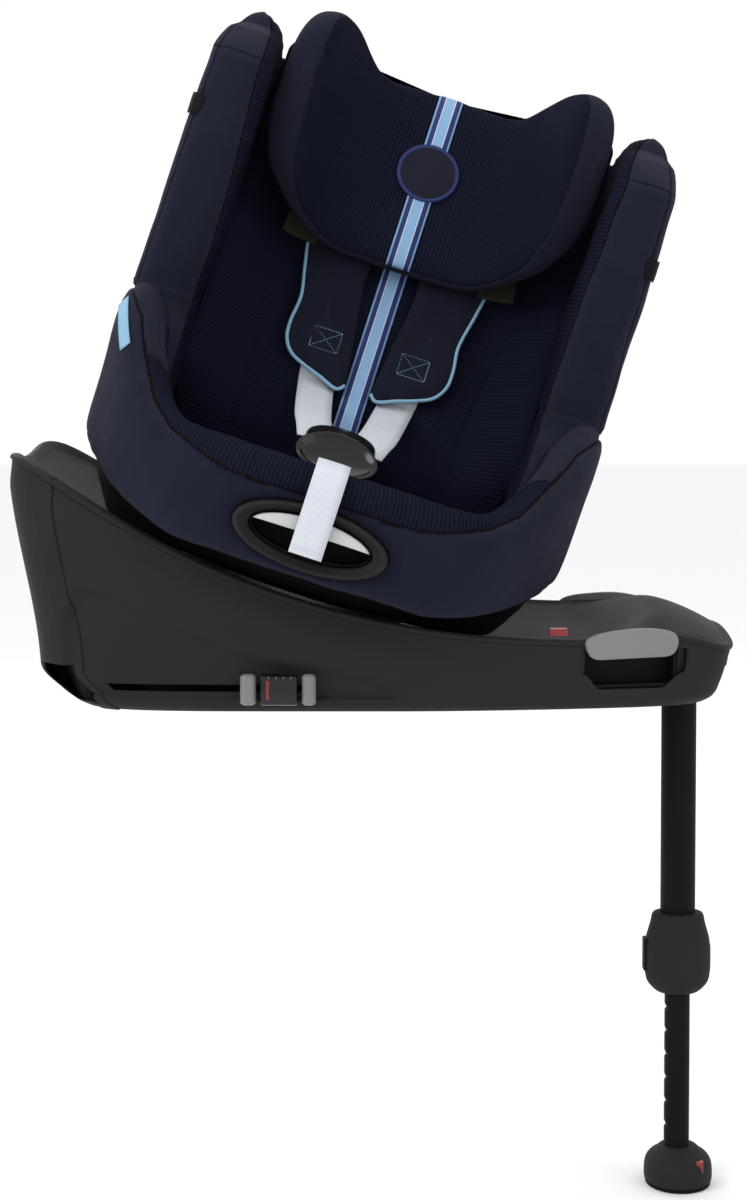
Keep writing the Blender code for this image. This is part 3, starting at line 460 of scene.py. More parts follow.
def material(name):
    """The named paint: its group's shade multiplies the colour, its height feeds a bump, its dullness the roughness."""
    label = name + " finish"
    if label in bpy.data.materials:
        return bpy.data.materials[label]
    if name == "blue_ribbon":
        return ribbon_material()
    group, size, colour, rough, depth, extra = PAINTS[name]
    paint = bpy.data.materials.new(label)
    paint.use_nodes = True
    tree = paint.node_tree
    shader = tree.nodes["Principled BSDF"]
    source = tree.nodes.new("ShaderNodeTexCoord")
    cloth = group in ("Knit", "Spacer Mesh", "Webbing")
    pattern = tree.nodes.new("ShaderNodeGroup")
    pattern.node_tree = bpy.data.node_groups[group]
    tree.links.new(source.outputs["UV" if cloth else "Object"], pattern.inputs["Vector"])
    pattern.inputs[1].default_value = size
    tint = tree.nodes.new("ShaderNodeMix")
    tint.data_type, tint.blend_type = "RGBA", "MULTIPLY"
    tint.inputs["Factor"].default_value = 1.0
    tint.inputs[6].default_value = (*getattr(bpy.context.scene.seat_colours, colour), 1.0)
    tree.links.new(pattern.outputs["Shade"], tint.inputs[7])
    tree.links.new(tint.outputs[2], shader.inputs["Base Color"])
    shader.inputs["Roughness"].default_value = rough
    if not cloth:
        tree.links.new(calc(tree, "ADD", pattern.outputs["Dull"], rough), shader.inputs["Roughness"])
    bump = tree.nodes.new("ShaderNodeBump")
    bump.inputs["Distance"].default_value = depth
    tree.links.new(pattern.outputs["Height"], bump.inputs["Height"])
    tree.links.new(bump.outputs["Normal"], shader.inputs["Normal"])
    for socket, value in extra.items():
        shader.inputs[socket].default_value = value
    return paint


def ribbon_material():
    """The centre ribbon: a light blue middle, navy bands and pale edges, from the distance to its middle line."""
    colours = bpy.context.scene.seat_colours
    half = bpy.context.scene.seat_sizes.ribbon_width / 2
    paint = bpy.data.materials.new("blue_ribbon finish")
    paint.use_nodes = True
    tree = paint.node_tree
    shader = tree.nodes["Principled BSDF"]
    source = tree.nodes.new("ShaderNodeAttribute")
    source.attribute_name = "offset"
    across = calc(tree, "DIVIDE", calc(tree, "ABSOLUTE", source.outputs["Fac"]), half)
    ramp = tree.nodes.new("ShaderNodeValToRGB")
    ramp.color_ramp.interpolation = "CONSTANT"
    bands = ((0.0, colours.ribbon_middle), (0.40, colours.webbing), (0.46, colours.ribbon_band),
             (0.84, colours.ribbon_middle))
    while len(ramp.color_ramp.elements) < len(bands):
        ramp.color_ramp.elements.new(0.5)
    for stop, (place, colour) in zip(ramp.color_ramp.elements, bands):
        stop.position, stop.color = place, (*colour, 1.0)
    tree.links.new(across, ramp.inputs[0])
    tree.links.new(ramp.outputs[0], shader.inputs["Base Color"])
    weave = tree.nodes.new("ShaderNodeGroup")
    weave.node_tree = bpy.data.node_groups["Webbing"]
    weave.inputs["Pitch"].default_value = 0.0014
    where = tree.nodes.new("ShaderNodeTexCoord")
    tree.links.new(where.outputs["UV"], weave.inputs["Vector"])
    bump = tree.nodes.new("ShaderNodeBump")
    bump.inputs["Distance"].default_value = 0.0002
    tree.links.new(weave.outputs["Height"], bump.inputs["Height"])
    tree.links.new(bump.outputs["Normal"], shader.inputs["Normal"])
    shader.inputs["Roughness"].default_value = 0.55
    shader.inputs["Specular IOR Level"].default_value = 0.2
    return paint


def colour(name, value, text):
    """A colour property of the panel."""
    return bpy.props.FloatVectorProperty(
        name=name, description=text, default=value, size=3, subtype="COLOR", min=0.0, max=1.0
    )


def length(name, value, text):
    """A length property of the panel, in metres."""
    return bpy.props.FloatProperty(name=name, description=text, default=value, min=0.0, unit="LENGTH", precision=4)


class SeatColours(bpy.types.PropertyGroup):
    """Colours of the seat's fabrics and mouldings."""

    fabric: colour("Fabric", (0.0098, 0.0110, 0.0275), "Plain knit of the outer covers")
    mesh: colour("Mesh", (0.0088, 0.0100, 0.0225), "Spacer mesh of the headrest and the seat")
    pad: colour("Pads", (0.0095, 0.0108, 0.0240), "Smooth knit of the shoulder pads")
    webbing: colour("Webbing", (0.60, 0.635, 0.69), "Harness and adjuster webbing")
    loop: colour("Loops", (0.030, 0.028, 0.018), "Dark webbing loops beside the headrest")
    piping: colour("Piping", (0.22, 0.40, 0.55), "Piping and stitching of the shoulder pads, and the hip tag")
    ribbon_middle: colour("Ribbon middle", (0.22, 0.38, 0.60), "Light blue of the centre ribbon")
    ribbon_band: colour("Ribbon band", (0.015, 0.030, 0.130), "Navy bands of the centre ribbon")
    casing: colour("Casing", (0.0190, 0.0190, 0.0192), "Charcoal mouldings")
    black: colour("Black", (0.0065, 0.0065, 0.0068), "Black mouldings, rubber and webbing")
    grey: colour("Grey", (0.172, 0.172, 0.175), "Release handles and squeeze buttons")
    pale: colour("Pale", (0.48, 0.485, 0.49), "Recline lever")
    red: colour("Red", (0.20, 0.010, 0.010), "Indicators")
    zinc: colour("Zinc", (0.55, 0.56, 0.58), "Plated steel")
    tube: colour("Tube", (0.0068, 0.0068, 0.0070), "Powder coated leg tubes")


class SeatSizes(bpy.types.PropertyGroup):
    """Sizes of details that the frame leaves open."""

    ribbon_width: length("Ribbon width", 0.0235, "Width of the centre ribbon")
    seam_depth: length("Seam depth", 0.0022, "How deep a seam pulls the cloth in")
    wrinkle: length("Wrinkle", 0.0007, "Height of the soft wrinkles in the cloth")
    skin_gap: length("Skin gap", 0.0011, "How far the outer skins lie off the mouldings under them")


# ---------------------------------------------------------------- base
BASE_REAR, BASE_REAR_LOW, BASE_FRONT, BASE_FRONT_LOW = -0.318, -0.262, 0.318, 0.303
BASE_HALF, BASE_HALF_LOW = 0.173, 0.168
SPHERE_RADIUS = 0.75
SPHERE_CENTRE = AXIS_FOOT + SPHERE_RADIUS * SEAT_UP
WELL_RADIUS = 0.1165
LEG_X = 0.2815
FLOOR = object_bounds()[0][2]


def base_edge(angle, z, inset=0.0):
    """Plan point of the base's side: a superellipse of power 6 whose half width, front and rear grow with height, and
    which narrows by 16% to the front."""
    low = smooth(0, 0.05, z)
    rise = 0.5 * smooth(0, 0.035, z) + 0.5 * smooth(0.02, 0.22, z)
    rear = mix(BASE_REAR_LOW, BASE_REAR, rise) + inset
    front = mix(BASE_FRONT_LOW, BASE_FRONT, low) - inset
    width = mix(BASE_HALF_LOW, BASE_HALF, low) - inset
    c, s = np.cos(angle), np.sin(angle)
    reach = (np.abs(c) ** 6 + np.abs(s) ** 6) ** (-1 / 6)
    x = mix(rear, front, (reach * c + 1) / 2)
    return x, width * (1 - 0.16 * smooth(0.02, 0.32, x)) * reach * s


def base_top(x, y):
    """Height of the base's top: a bowl from one large sphere, and in front of it a deck that falls to the nose."""
    bowl = SPHERE_CENTRE[2] - np.sqrt(SPHERE_RADIUS**2 - (x - SPHERE_CENTRE[0]) ** 2 - y * y)
    nose = np.maximum(0, (x - 0.25) / (BASE_FRONT - 0.25))
    deck = 0.080 - 0.026 * nose**1.6 - 0.85 * y * y
    off = np.stack([x, y, bowl], -1) - AXIS_FOOT
    radius = np.linalg.norm(off - (off @ SEAT_UP)[..., None] * SEAT_UP, axis=-1)
    return mix(bowl, deck, smooth(0.285, 0.335, radius) * smooth(0, 0.1, x))


def rim_height(angle):
    """Height where the top meets the side, found by repeating one from the other."""
    z = np.full_like(angle, 0.1)
    for _ in range(8):
        z = base_top(*base_edge(angle, z))
    return z


def side_angle(x):
    """The angle at which the near side passes x, low on the base: the superellipse solved for its angle."""
    q = 2 * (np.asarray(x) + 0.285) / 0.598 - 1
    return math.tau - np.arctan2(1, q / (1 - q**6) ** (1 / 6))


def rear_angle(y):
    """The angle at which the rear passes y, low on the base."""
    q = np.asarray(y) / 0.1695
    return math.pi + np.arctan(q / (1 - q**6) ** (1 / 6))


def base_columns():
    """Angles round the base, with one exactly at each edge of an opening: rear middle, hook mouth, slot, panel end,
    handle pocket, front middle, and the mirror of them."""
    keys = [math.pi, *rear_angle([0.125, 0.155]), *side_angle([-0.262, -0.234, -0.058, 0.041, 0.178, 0.2655]), math.tau]
    counts = (12, 8, 16, 9, 44, 26, 30, 24, 38)
    near = np.concatenate([np.linspace(a, b, n, endpoint=False) for a, b, n in zip(keys, keys[1:], counts)])
    far = (math.tau - near)[::-1]
    return np.concatenate([near, far])


def panel_depth(x, z):
    """1 inside the sunk panel of the base's side and 0 outside it, over rounded steps: the panel's top runs down
    with the bowl, and its front end is an arc."""
    top = np.interp(x, [-0.262, -0.25, -0.225, -0.173, -0.102, -0.048, -0.010, 0.013, 0.030, 0.041],
                    [0.086, 0.113, 0.1075, 0.0825, 0.0535, 0.044, 0.0385, 0.031, 0.016, -0.01])
    return smooth(0, 0.013, (top - z) * 0.9) * smooth(0, 0.007, x + 0.2655) * smooth(0, 0.005, z - 0.0105)


class CARSEAT_OT_base_side(bpy.types.Operator):
    """Side of the base: the base's outline at each height, out by the skin gap, with a sunk panel and open cuts"""

    bl_idname = "carseat.base_side"
    bl_label = "Base side"

    def execute(self, context):
        gap = context.scene.seat_sizes.skin_gap
        angle = base_columns()
        rim = rim_height(angle)
        x_low, y_low = base_edge(angle, 0.03)
        slot_top = mix(0.0242, 0.038, smooth(-0.03, 0.15, x_low))
        mouth_top = np.minimum(mix(0.0390, 0.0518, smooth(-0.03, 0.15, x_low)), rim - 0.0068)
        slot_top = np.minimum(slot_top, mouth_top - 0.004)
        ends = np.clip(np.abs(x_low - 0.2215) / 0.0435, 0, 1) * (x_low > 0.16)
        slot_low = 0.0178 + 0.0135 * smooth(0.62, 1.0, ends) * smooth(0.16, 0.178, x_low)
        knots = np.stack([0 * rim, 0 * rim + 0.006, slot_low, slot_top, mouth_top, rim - 0.0034])
        counts = (7, 9, 7, 14, 73)
        rows = [mix(a, b, np.linspace(0, 1, n, endpoint=False)[:, None]) for a, b, n in zip(knots, knots[1:], counts)]
        z = np.concatenate([*rows, knots[-1:]])
        bottom = 0.0058 * np.clip(1 - z / 0.006, 0, 1) ** 2
        x, y = base_edge(angle, z)
        proud = 0.0046 * (1 - panel_depth(x, z)) * smooth(0.0, 0.012, z) * (np.abs(y) > 0.1)
        proud = proud * smooth(0.0, 0.03, rim - z) + 0.0012 * smooth(0.03, 0.0, rim - z)
        x, y = base_edge(angle, z, 0.0010 + bottom - gap - proud)
        points = np.stack([x, y, z], -1)
        row = np.arange(len(z))[:, None] + 0.5
        first, slot, mouth, top = np.cumsum(counts)[[0, 1, 2, 3]]
        side = np.abs(y_low)
        centre = (x_low + np.roll(x_low, -1)) / 2
        in_slot = (centre > -0.234) & (centre < -0.058) & (side > 0.1)
        in_pocket = (centre > 0.178) & (centre < 0.2655) & (side > 0.1)
        middle = (side + np.roll(side, -1)) / 2
        in_mouth = (centre < -0.24) & (middle > 0.125) & (middle < 0.1549) & (x_low < -0.255)
        gone = in_slot & (row > slot) & (row < mouth)
        gone |= in_pocket & (row > slot) & (row < top)
        gone |= in_mouth & (row > first) & (row < top)
        skin_piece = make("base_side_skin", points, "base", "charcoal_plastic", "charcoal", closed_cols=True,
                          paint_of=np.where(gone, -1, 0).astype(np.int32))
        thicken(skin_piece, 0.0009)
        dress("charcoal", "base_lower_shell")
        return {"FINISHED"}


class CARSEAT_OT_base_cover(bpy.types.Operator):
    """Cover of the base: a bead round its rim, the deck and the bowl down to the turntable's well, and a thin wall"""

    bl_idname = "carseat.base_cover"
    bl_label = "Base cover"

    def execute(self, context):
        angle = base_columns()
        rim = rim_height(angle)
        bead = [(0.0015, -0.0036), (-0.0012, -0.0034), (-0.0024, -0.0028), (-0.0030, -0.0014), (-0.0028, 0.0000),
                (-0.0020, 0.0012), (-0.0004, 0.0020), (0.0018, 0.0022), (0.0045, 0.0018)]
        rows = []
        for inset, lift in bead:
            x, y = base_edge(angle, rim, inset)
            rows.append(np.stack([x, y, rim + lift + 0 * x], -1))
        x0, y0 = base_edge(angle, rim, 0.0075)
        well = AXIS_FOOT + WELL_RADIUS * (np.cos(angle)[:, None] * SEAT_ACROSS + np.sin(angle)[:, None] * REARWARD)
        t = np.linspace(0, 1, 72)[:, None]
        t = mix(t, t * t * (3 - 2 * t), 0.35)
        x, y = mix(x0, well[:, 0], t), mix(y0, well[:, 1], t)
        top = np.stack([x, y, base_top(x, y) + 0.0008], -1)
        lip = top[-1] + np.array([[0, 0, -0.0035]])
        t = np.linspace(1, 0, 7)[:, None]
        x, y = mix(x0, well[:, 0], t), mix(y0, well[:, 1], t)
        under = np.stack([x, y, base_top(x, y) - 0.0034], -1)
        points = np.concatenate([rows, top, lip[None], under])
        make("base_cover", points, "base", "charcoal_plastic", "charcoal_satin", closed_rows=True, closed_cols=True,
             replaces=["base_upper_cover"])
        return {"FINISHED"}


def handle_place(side):
    """Local frame of a release handle: x along the wall, y out, z up; the near side is -1."""
    out = np.array([0.21143, side * 0.977393, 0.0])
    along = np.array([side * 0.977393, -0.21143, 0.0])
    centre = np.array([0.2215, side * 0.147845, 0.0425])
    turn = np.column_stack([along, out, [0, 0, 1]])
    return lambda points: points @ turn.T + centre


def barrel(name, ends, side, end_round, swell, body, slot, paint, node, ribs=0):
    """A rounded bar along x on the base's side: a half superellipse section, which closes round at its ends. ribs are
    shallow grooves across it."""
    t = np.linspace(0, 1, 60)[:, None]
    x = mix(*ends, t)
    gap = np.minimum(x - ends[0], ends[1] - x)
    close = np.sqrt(np.clip(1 - np.clip(1 - gap / end_round, 0, 1) ** 2, 0.02, 1))
    a = np.linspace(0, math.tau, 48, endpoint=False)[None]
    c, s = np.cos(a), np.sin(a)
    groove = sum(hill(t, (k + 1) / (ribs + 1), 0.03) for k in range(ribs)) * 0.0005
    y = 0.1810 + np.sign(c) * np.abs(c) ** 0.6 * (0.0040 + swell) * close + (c > 0) * (0.0018 * close * c - groove)
    z = 0.0215 + np.sign(s) * np.abs(s) ** 0.55 * 0.0134 * mix(close, 1, 0.75)
    make(name, np.stack([x + 0 * a, side * y, z], -1), body, slot, paint, closed_cols=True, caps=True, replaces=[node])


class CARSEAT_OT_base_details(bpy.types.Operator):
    """Release handles, their pockets and indicator, the anchor sliders and the plain mouldings of the base"""

    bl_idname = "carseat.base_details"
    bl_label = "Base details"

    def execute(self, context):
        for side, name in ((-1, "near"), (1, "far")):
            place = handle_place(side)
            corners = np.array([(-0.0430, 0.0045), (-0.0372, -0.0128), (0.0380, -0.0110), (0.0432, 0.0020),
                                (0.0385, 0.0105), (0.0125, 0.0150), (-0.0295, 0.0105)]) * (side, 1) + (0, 0.0140)
            outline = rounded(corners, [0.006, 0.009, 0.009, 0.006, 0.007, 0.02, 0.012])
            layers = [(0.93, 0.0016), (0.985, 0.0020), (1.0, 0.0032), (1.0, 0.0056), (0.988, 0.0068), (0.962, 0.0075),
                      (0.90, 0.0078), (0.6, 0.0078), (0.3, 0.0078)]
            domed(f"release_handle_{name}_grip", outline, layers, place, f"release_{name}", "grey_plastic",
                  "grey_plastic", replaces=[f"release_handle_{name}"])
        dress("black_plastic", "release_pocket_near", "release_pocket_far", "swivel_pedestal")
        dress("red_plastic", "lock_indicator", "foot_indicator")
        for side, name in ((-1, "near"), (1, "far")):
            body = f"anchor_{name}"
            barrel(f"slider_body_{name}", (-0.0965, -0.0645), side, 0.0015, 0.0006, body, "charcoal_plastic",
                   "black_gloss", f"arm_slider_{name}", ribs=4)
            barrel(f"slider_button_rear_{name}", (-0.1135, -0.1000), side, 0.0045, 0.0, f"squeeze_rear_{name}",
                   "grey_plastic", "grey_plastic", f"squeeze_button_rear_{name}")
            barrel(f"slider_button_front_{name}", (-0.0610, -0.0490), side, 0.0045, 0.0, f"squeeze_front_{name}",
                   "grey_plastic", "grey_plastic", f"squeeze_button_front_{name}")
            window = rounded([(-0.0915, 0.0130), (-0.0875, 0.0130), (-0.0875, 0.0300), (-0.0915, 0.0300)], 0.0012)
            domed(f"slider_window_{name}", window, [(0.9, 0.1850), (1, 0.1854), (1, 0.1868), (0.8, 0.1872)],
                  lambda p, side=side: p * (1, side, 1), body, "red_plastic", "red_plastic")
        dress("black_tube", "anchor_arm_near", "anchor_arm_far", "anchor_jaw_near", "anchor_jaw_far", "chassis_plate")
        dress("zinc", "leg_bracket", "leg_pivot_pin", "latch_hook_near", "latch_hook_far", "bearing_ring",
              "swivel_retainer", "carrier_plate", "recline_rail_left", "recline_rail_right")
        dress("black_plastic", "turntable", "recline_shoe_left", "recline_shoe_right", "leg_lock_button",
              "seat_tub", "headrest_shell", "handle_cup")
        return {"FINISHED"}


class CARSEAT_OT_leg(bpy.types.Operator):
    """Load leg: turned tubes, notched on the inner one, a rounded collar and a rounded foot"""

    bl_idname = "carseat.leg"
    bl_label = "Load leg"

    def execute(self, context):
        at = (LEG_X, 0, 0)
        turned("leg_outer_sleeve", [(0.0146, -0.2235), (0.0157, -0.2240), (0.0161, -0.2230), (0.0161, 0.0212),
                                    (0.0157, 0.0221), (0.0140, 0.0225)], at, "leg_upper", "black_tube", "black_tube",
               replaces=["leg_outer_tube"], sides=64, sharp=40)
        a = np.arange(64) * math.tau / 64
        z = np.linspace(-0.1950, -0.4480, 320)[:, None]
        near_notch = np.cos(a)[None] < -0.80
        notch = sum(hill(z, -0.300 - 0.022 * i, 0.0034) ** 4 for i in range(6))
        r = 0.0119 - 0.0022 * notch * near_notch - 0.0006 * (np.abs(np.sin(a)) < 0.26) * smooth(-0.21, -0.22, z)
        points = np.stack([LEG_X + r * np.cos(a), r * np.sin(a), z + 0 * r], -1)
        make("leg_inner_sleeve", points, "leg_lower", "black_tube", "black_tube", closed_cols=True, caps=True,
             replaces=["leg_inner_tube"], sharp=40)
        rx = [(0.0185, -0.2106), (0.0222, -0.2112), (0.0240, -0.2140), (0.0252, -0.2200), (0.0275, -0.2280),
              (0.0298, -0.2370), (0.0305, -0.2450), (0.0305, -0.2600), (0.0300, -0.2670), (0.0284, -0.2745),
              (0.0240, -0.2805), (0.0190, -0.2845), (0.0150, -0.2858), (0.0134, -0.2856)]
        fine = spline(np.array(rx), 56)
        a = np.arange(72) * math.tau / 72
        r, z = fine.T[:, :, None]
        seam = 0.0006 * hill(np.cos(a), 0.0, 0.05)[None] * smooth(-0.2106, -0.2140, z)
        rib = 0.0005 * hill(z, -0.2385, 0.0016)
        points = np.stack([LEG_X + (r - rib - seam) * np.cos(a), (r * 0.86 - rib - seam) * np.sin(a), z + 0 * a], -1)
        make("leg_collar_body", points, "leg_upper", "charcoal_plastic", "charcoal", closed_cols=True, caps=True,
             replaces=["leg_collar"])
        centre = (LEG_X + 0.0015, 0, 0)
        foot = [(0.0134, -0.4292), (0.0160, -0.4296), (0.0185, -0.4312), (0.0215, -0.4340), (0.0262, -0.4372),
                (0.0298, -0.4420), (0.0312, -0.4480), (0.0315, -0.4560), (0.0308, -0.4605), (0.0290, -0.4622)]
        turned("leg_foot_body", spline(np.array(foot), 44), centre, "leg_lower", "charcoal_plastic", "charcoal",
               replaces=["leg_foot"], sides=72, squash=1.19)
        turned("leg_foot_sole", [(0.0275, -0.4616), (0.0300, -0.4622), (0.0303, -0.4632), (0.0298, -0.4644),
                                 (0.0285, FLOOR)], centre, "leg_lower", "sole_rubber", "sole_rubber",
               replaces=["foot_sole"], sides=72, squash=1.19, sharp=50)
        return {"FINISHED"}


# ---------------------------------------------------------------- shell
TUB_POWER = 2.6
TUB_MIDDLE = -0.005  # where the tub is widest
TUB_LEVELS = np.array([(0.026, 0.178, -0.150, 0.140), (0.060, 0.200, -0.180, 0.168), (0.095, 0.214, -0.192, 0.182),
                       (0.128, 0.219, -0.196, 0.186)])  # height, half width, front, back
SHELL_LEVELS = np.array([(0.129, 0.219, 0.010, 0.187), (0.235, 0.219, 0.010, 0.194), (0.380, 0.217, 0.012, 0.212),
                         (0.455, 0.211, 0.030, 0.224), (0.485, 0.204, 0.055, 0.229), (0.496, 0.190, 0.090, 0.231)])


def level(table, height):
    """Half width, front and back of the shell at a height, between the table's levels."""
    return [np.interp(height, table[:, 0], table[:, k]) for k in (1, 2, 3)]


def tub_point(angle, half_x, front, z):
    """A superellipse in plan: angle 0 at the front middle, positive towards +x, past a quarter turn to the rear."""
    c, s = np.cos(angle), np.sin(angle)
    x = np.sign(s) * np.abs(s) ** (2 / TUB_POWER) * half_x
    y = mix(TUB_MIDDLE, front, np.sign(c) * np.abs(c) ** (2 / TUB_POWER))
    return np.stack(np.broadcast_arrays(x, y, z), -1)


def back_line(height):
    """How far back the front of the backrest is at a height above the swivel's foot."""
    return 0.020 + (height - 0.120) * math.tan(BACK_LEAN)


class CARSEAT_OT_shell(bpy.types.Operator):
    """Shell: the tub's skirt as a superellipse at each height, and the backrest as a U in plan with a ribbed back"""

    bl_idname = "carseat.shell"
    bl_label = "Shell"

    def execute(self, context):
        angle = np.linspace(0, math.tau, 420, endpoint=False)
        c, s = np.cos(angle), np.sin(angle)
        px = np.sign(s) * np.abs(s) ** (2 / TUB_POWER)
        py = np.sign(c) * np.abs(c) ** (2 / TUB_POWER)
        y_top = np.where(py > 0, mix(TUB_MIDDLE, -0.19, py), mix(TUB_MIDDLE, 0.18, -py))
        low = 0.0372 + 0.06 * y_top
        arch = 0.42 - np.sqrt(0.3755**2 - np.minimum(y_top + 0.006, 0.2) ** 2) + 0.0012
        low = np.where((y_top > 0) & (np.abs(px) < 0.80), np.maximum(low, arch), low)
        z = mix(low, 0.1285, np.linspace(0, 1, 30)[:, None])
        half, front, back_edge = level(TUB_LEVELS, z)
        out = 0.0012 + 0.0016 * hill(z, 0.112, 0.004) + 0.0010 * smooth(0.050, 0.047, z)
        x = px * (half + out)
        y = np.where(py > 0, mix(TUB_MIDDLE, front - out, py), mix(TUB_MIDDLE, back_edge + out, -py))
        seam = sum(hill(angle, m, 0.010) for m in (0.50, math.tau - 0.62, 2.35, math.tau - 2.35))
        x, y = x * (1 - 0.007 * seam), y * (1 - 0.007 * seam)
        skirt = make("tub_skirt", seat(np.stack([x, y, z], -1)), "seat", "charcoal_plastic", "black_plastic",
                     closed_cols=True)
        thicken(skirt, 0.0010)

        height = np.concatenate([np.linspace(0.1290, 0.235, 22), np.linspace(0.240, 0.455, 44),
                                 np.linspace(0.460, 0.4855, 16)])[:, None]
        half, front, rear = level(SHELL_LEVELS, height)
        side = np.linspace(0, 1, 26)
        turn = np.linspace(0, math.pi / 2, 16)[1:-1]
        middle = np.linspace(-1, 1, 60)

        def plan(inset, corner):
            """U in plan, from the right front edge round the back to the left front edge."""
            h, b = half - inset, rear - inset
            flank_y = mix(front, b - corner, side)
            right = np.stack([-h + 0 * flank_y, flank_y], -1)
            arc = np.stack([-(h - corner) - corner * np.cos(turn), b - corner + corner * np.sin(turn)], -1)
            across = np.stack([(h - corner) * middle, b + 0 * middle * h], -1)
            return np.concatenate([right, arc, across, (arc * (-1, 1))[:, ::-1], (right * (-1, 1))[:, ::-1]], 1)

        outer, inner = plan(0.0, 0.075), plan(0.0050, 0.070)
        panel = smooth(0.118, 0.112, np.abs(outer[..., 0])) * smooth(0.150, 0.156, height)
        panel *= smooth(0.462, 0.456, height)
        panel *= smooth(0.10, 0.12, outer[..., 1])
        ribs = sum(hill(height, 0.175 + 0.032 * i, 0.0036) for i in range(9)) * panel
        flank = smooth(0.205, 0.209, np.abs(outer[..., 0])) * smooth(0.020, 0.024, outer[..., 1])
        flank *= smooth(0.150, 0.120, outer[..., 1]) * smooth(0.165, 0.170, height) * smooth(0.440, 0.434, height)
        depth = 0.0032 * panel - 0.0030 * ribs + 0.0014 * flank
        centre = np.array([0.0, 0.06])
        direction = outer - centre
        direction /= np.linalg.norm(direction, axis=-1, keepdims=True)
        outer = outer - direction * depth[..., None]
        loop = np.concatenate([outer, inner[:, ::-1]], 1)
        points = np.concatenate([loop, height[..., None] + 0 * loop[..., :1]], -1)
        middle_wall = (points + points[:, ::-1]) / 2
        first, last = middle_wall[:1].copy(), middle_wall[-1:].copy()
        first[..., 2], last[..., 2] = 0.1290, 0.4870
        points = np.concatenate([first, points, last])
        top_edge = np.repeat((np.arange(len(points)) > 74)[:, None], points.shape[1], 1).astype(np.int32)
        make("backrest_shell_skin", seat(points), "seat", "charcoal_plastic", ["charcoal_satin", "navy_knit"],
             closed_cols=True, paint_of=top_edge, replaces=["backrest_shell"])
        return {"FINISHED"}


# ---------------------------------------------------------------- covers
def seam_height(x):
    """Height of the cover's rim seam at a distance from the middle."""
    at = [0, 0.067, 0.087, 0.101, 0.116, 0.142, 0.163, 0.175, 0.190, 0.200, 0.212, 0.23]
    heights = [0.1115, 0.1110, 0.1125, 0.116, 0.121, 0.131, 0.148, 0.168, 0.192, 0.210, 0.222, 0.236]
    return np.interp(np.abs(x), at, heights)


def hidden(*groups):
    """Straight stretches between the given rows of points, 3 steps each."""
    return np.concatenate([mix(a, b, np.linspace(0, 1, 4)[1:, None, None]) for a, b in zip(groups, groups[1:])])


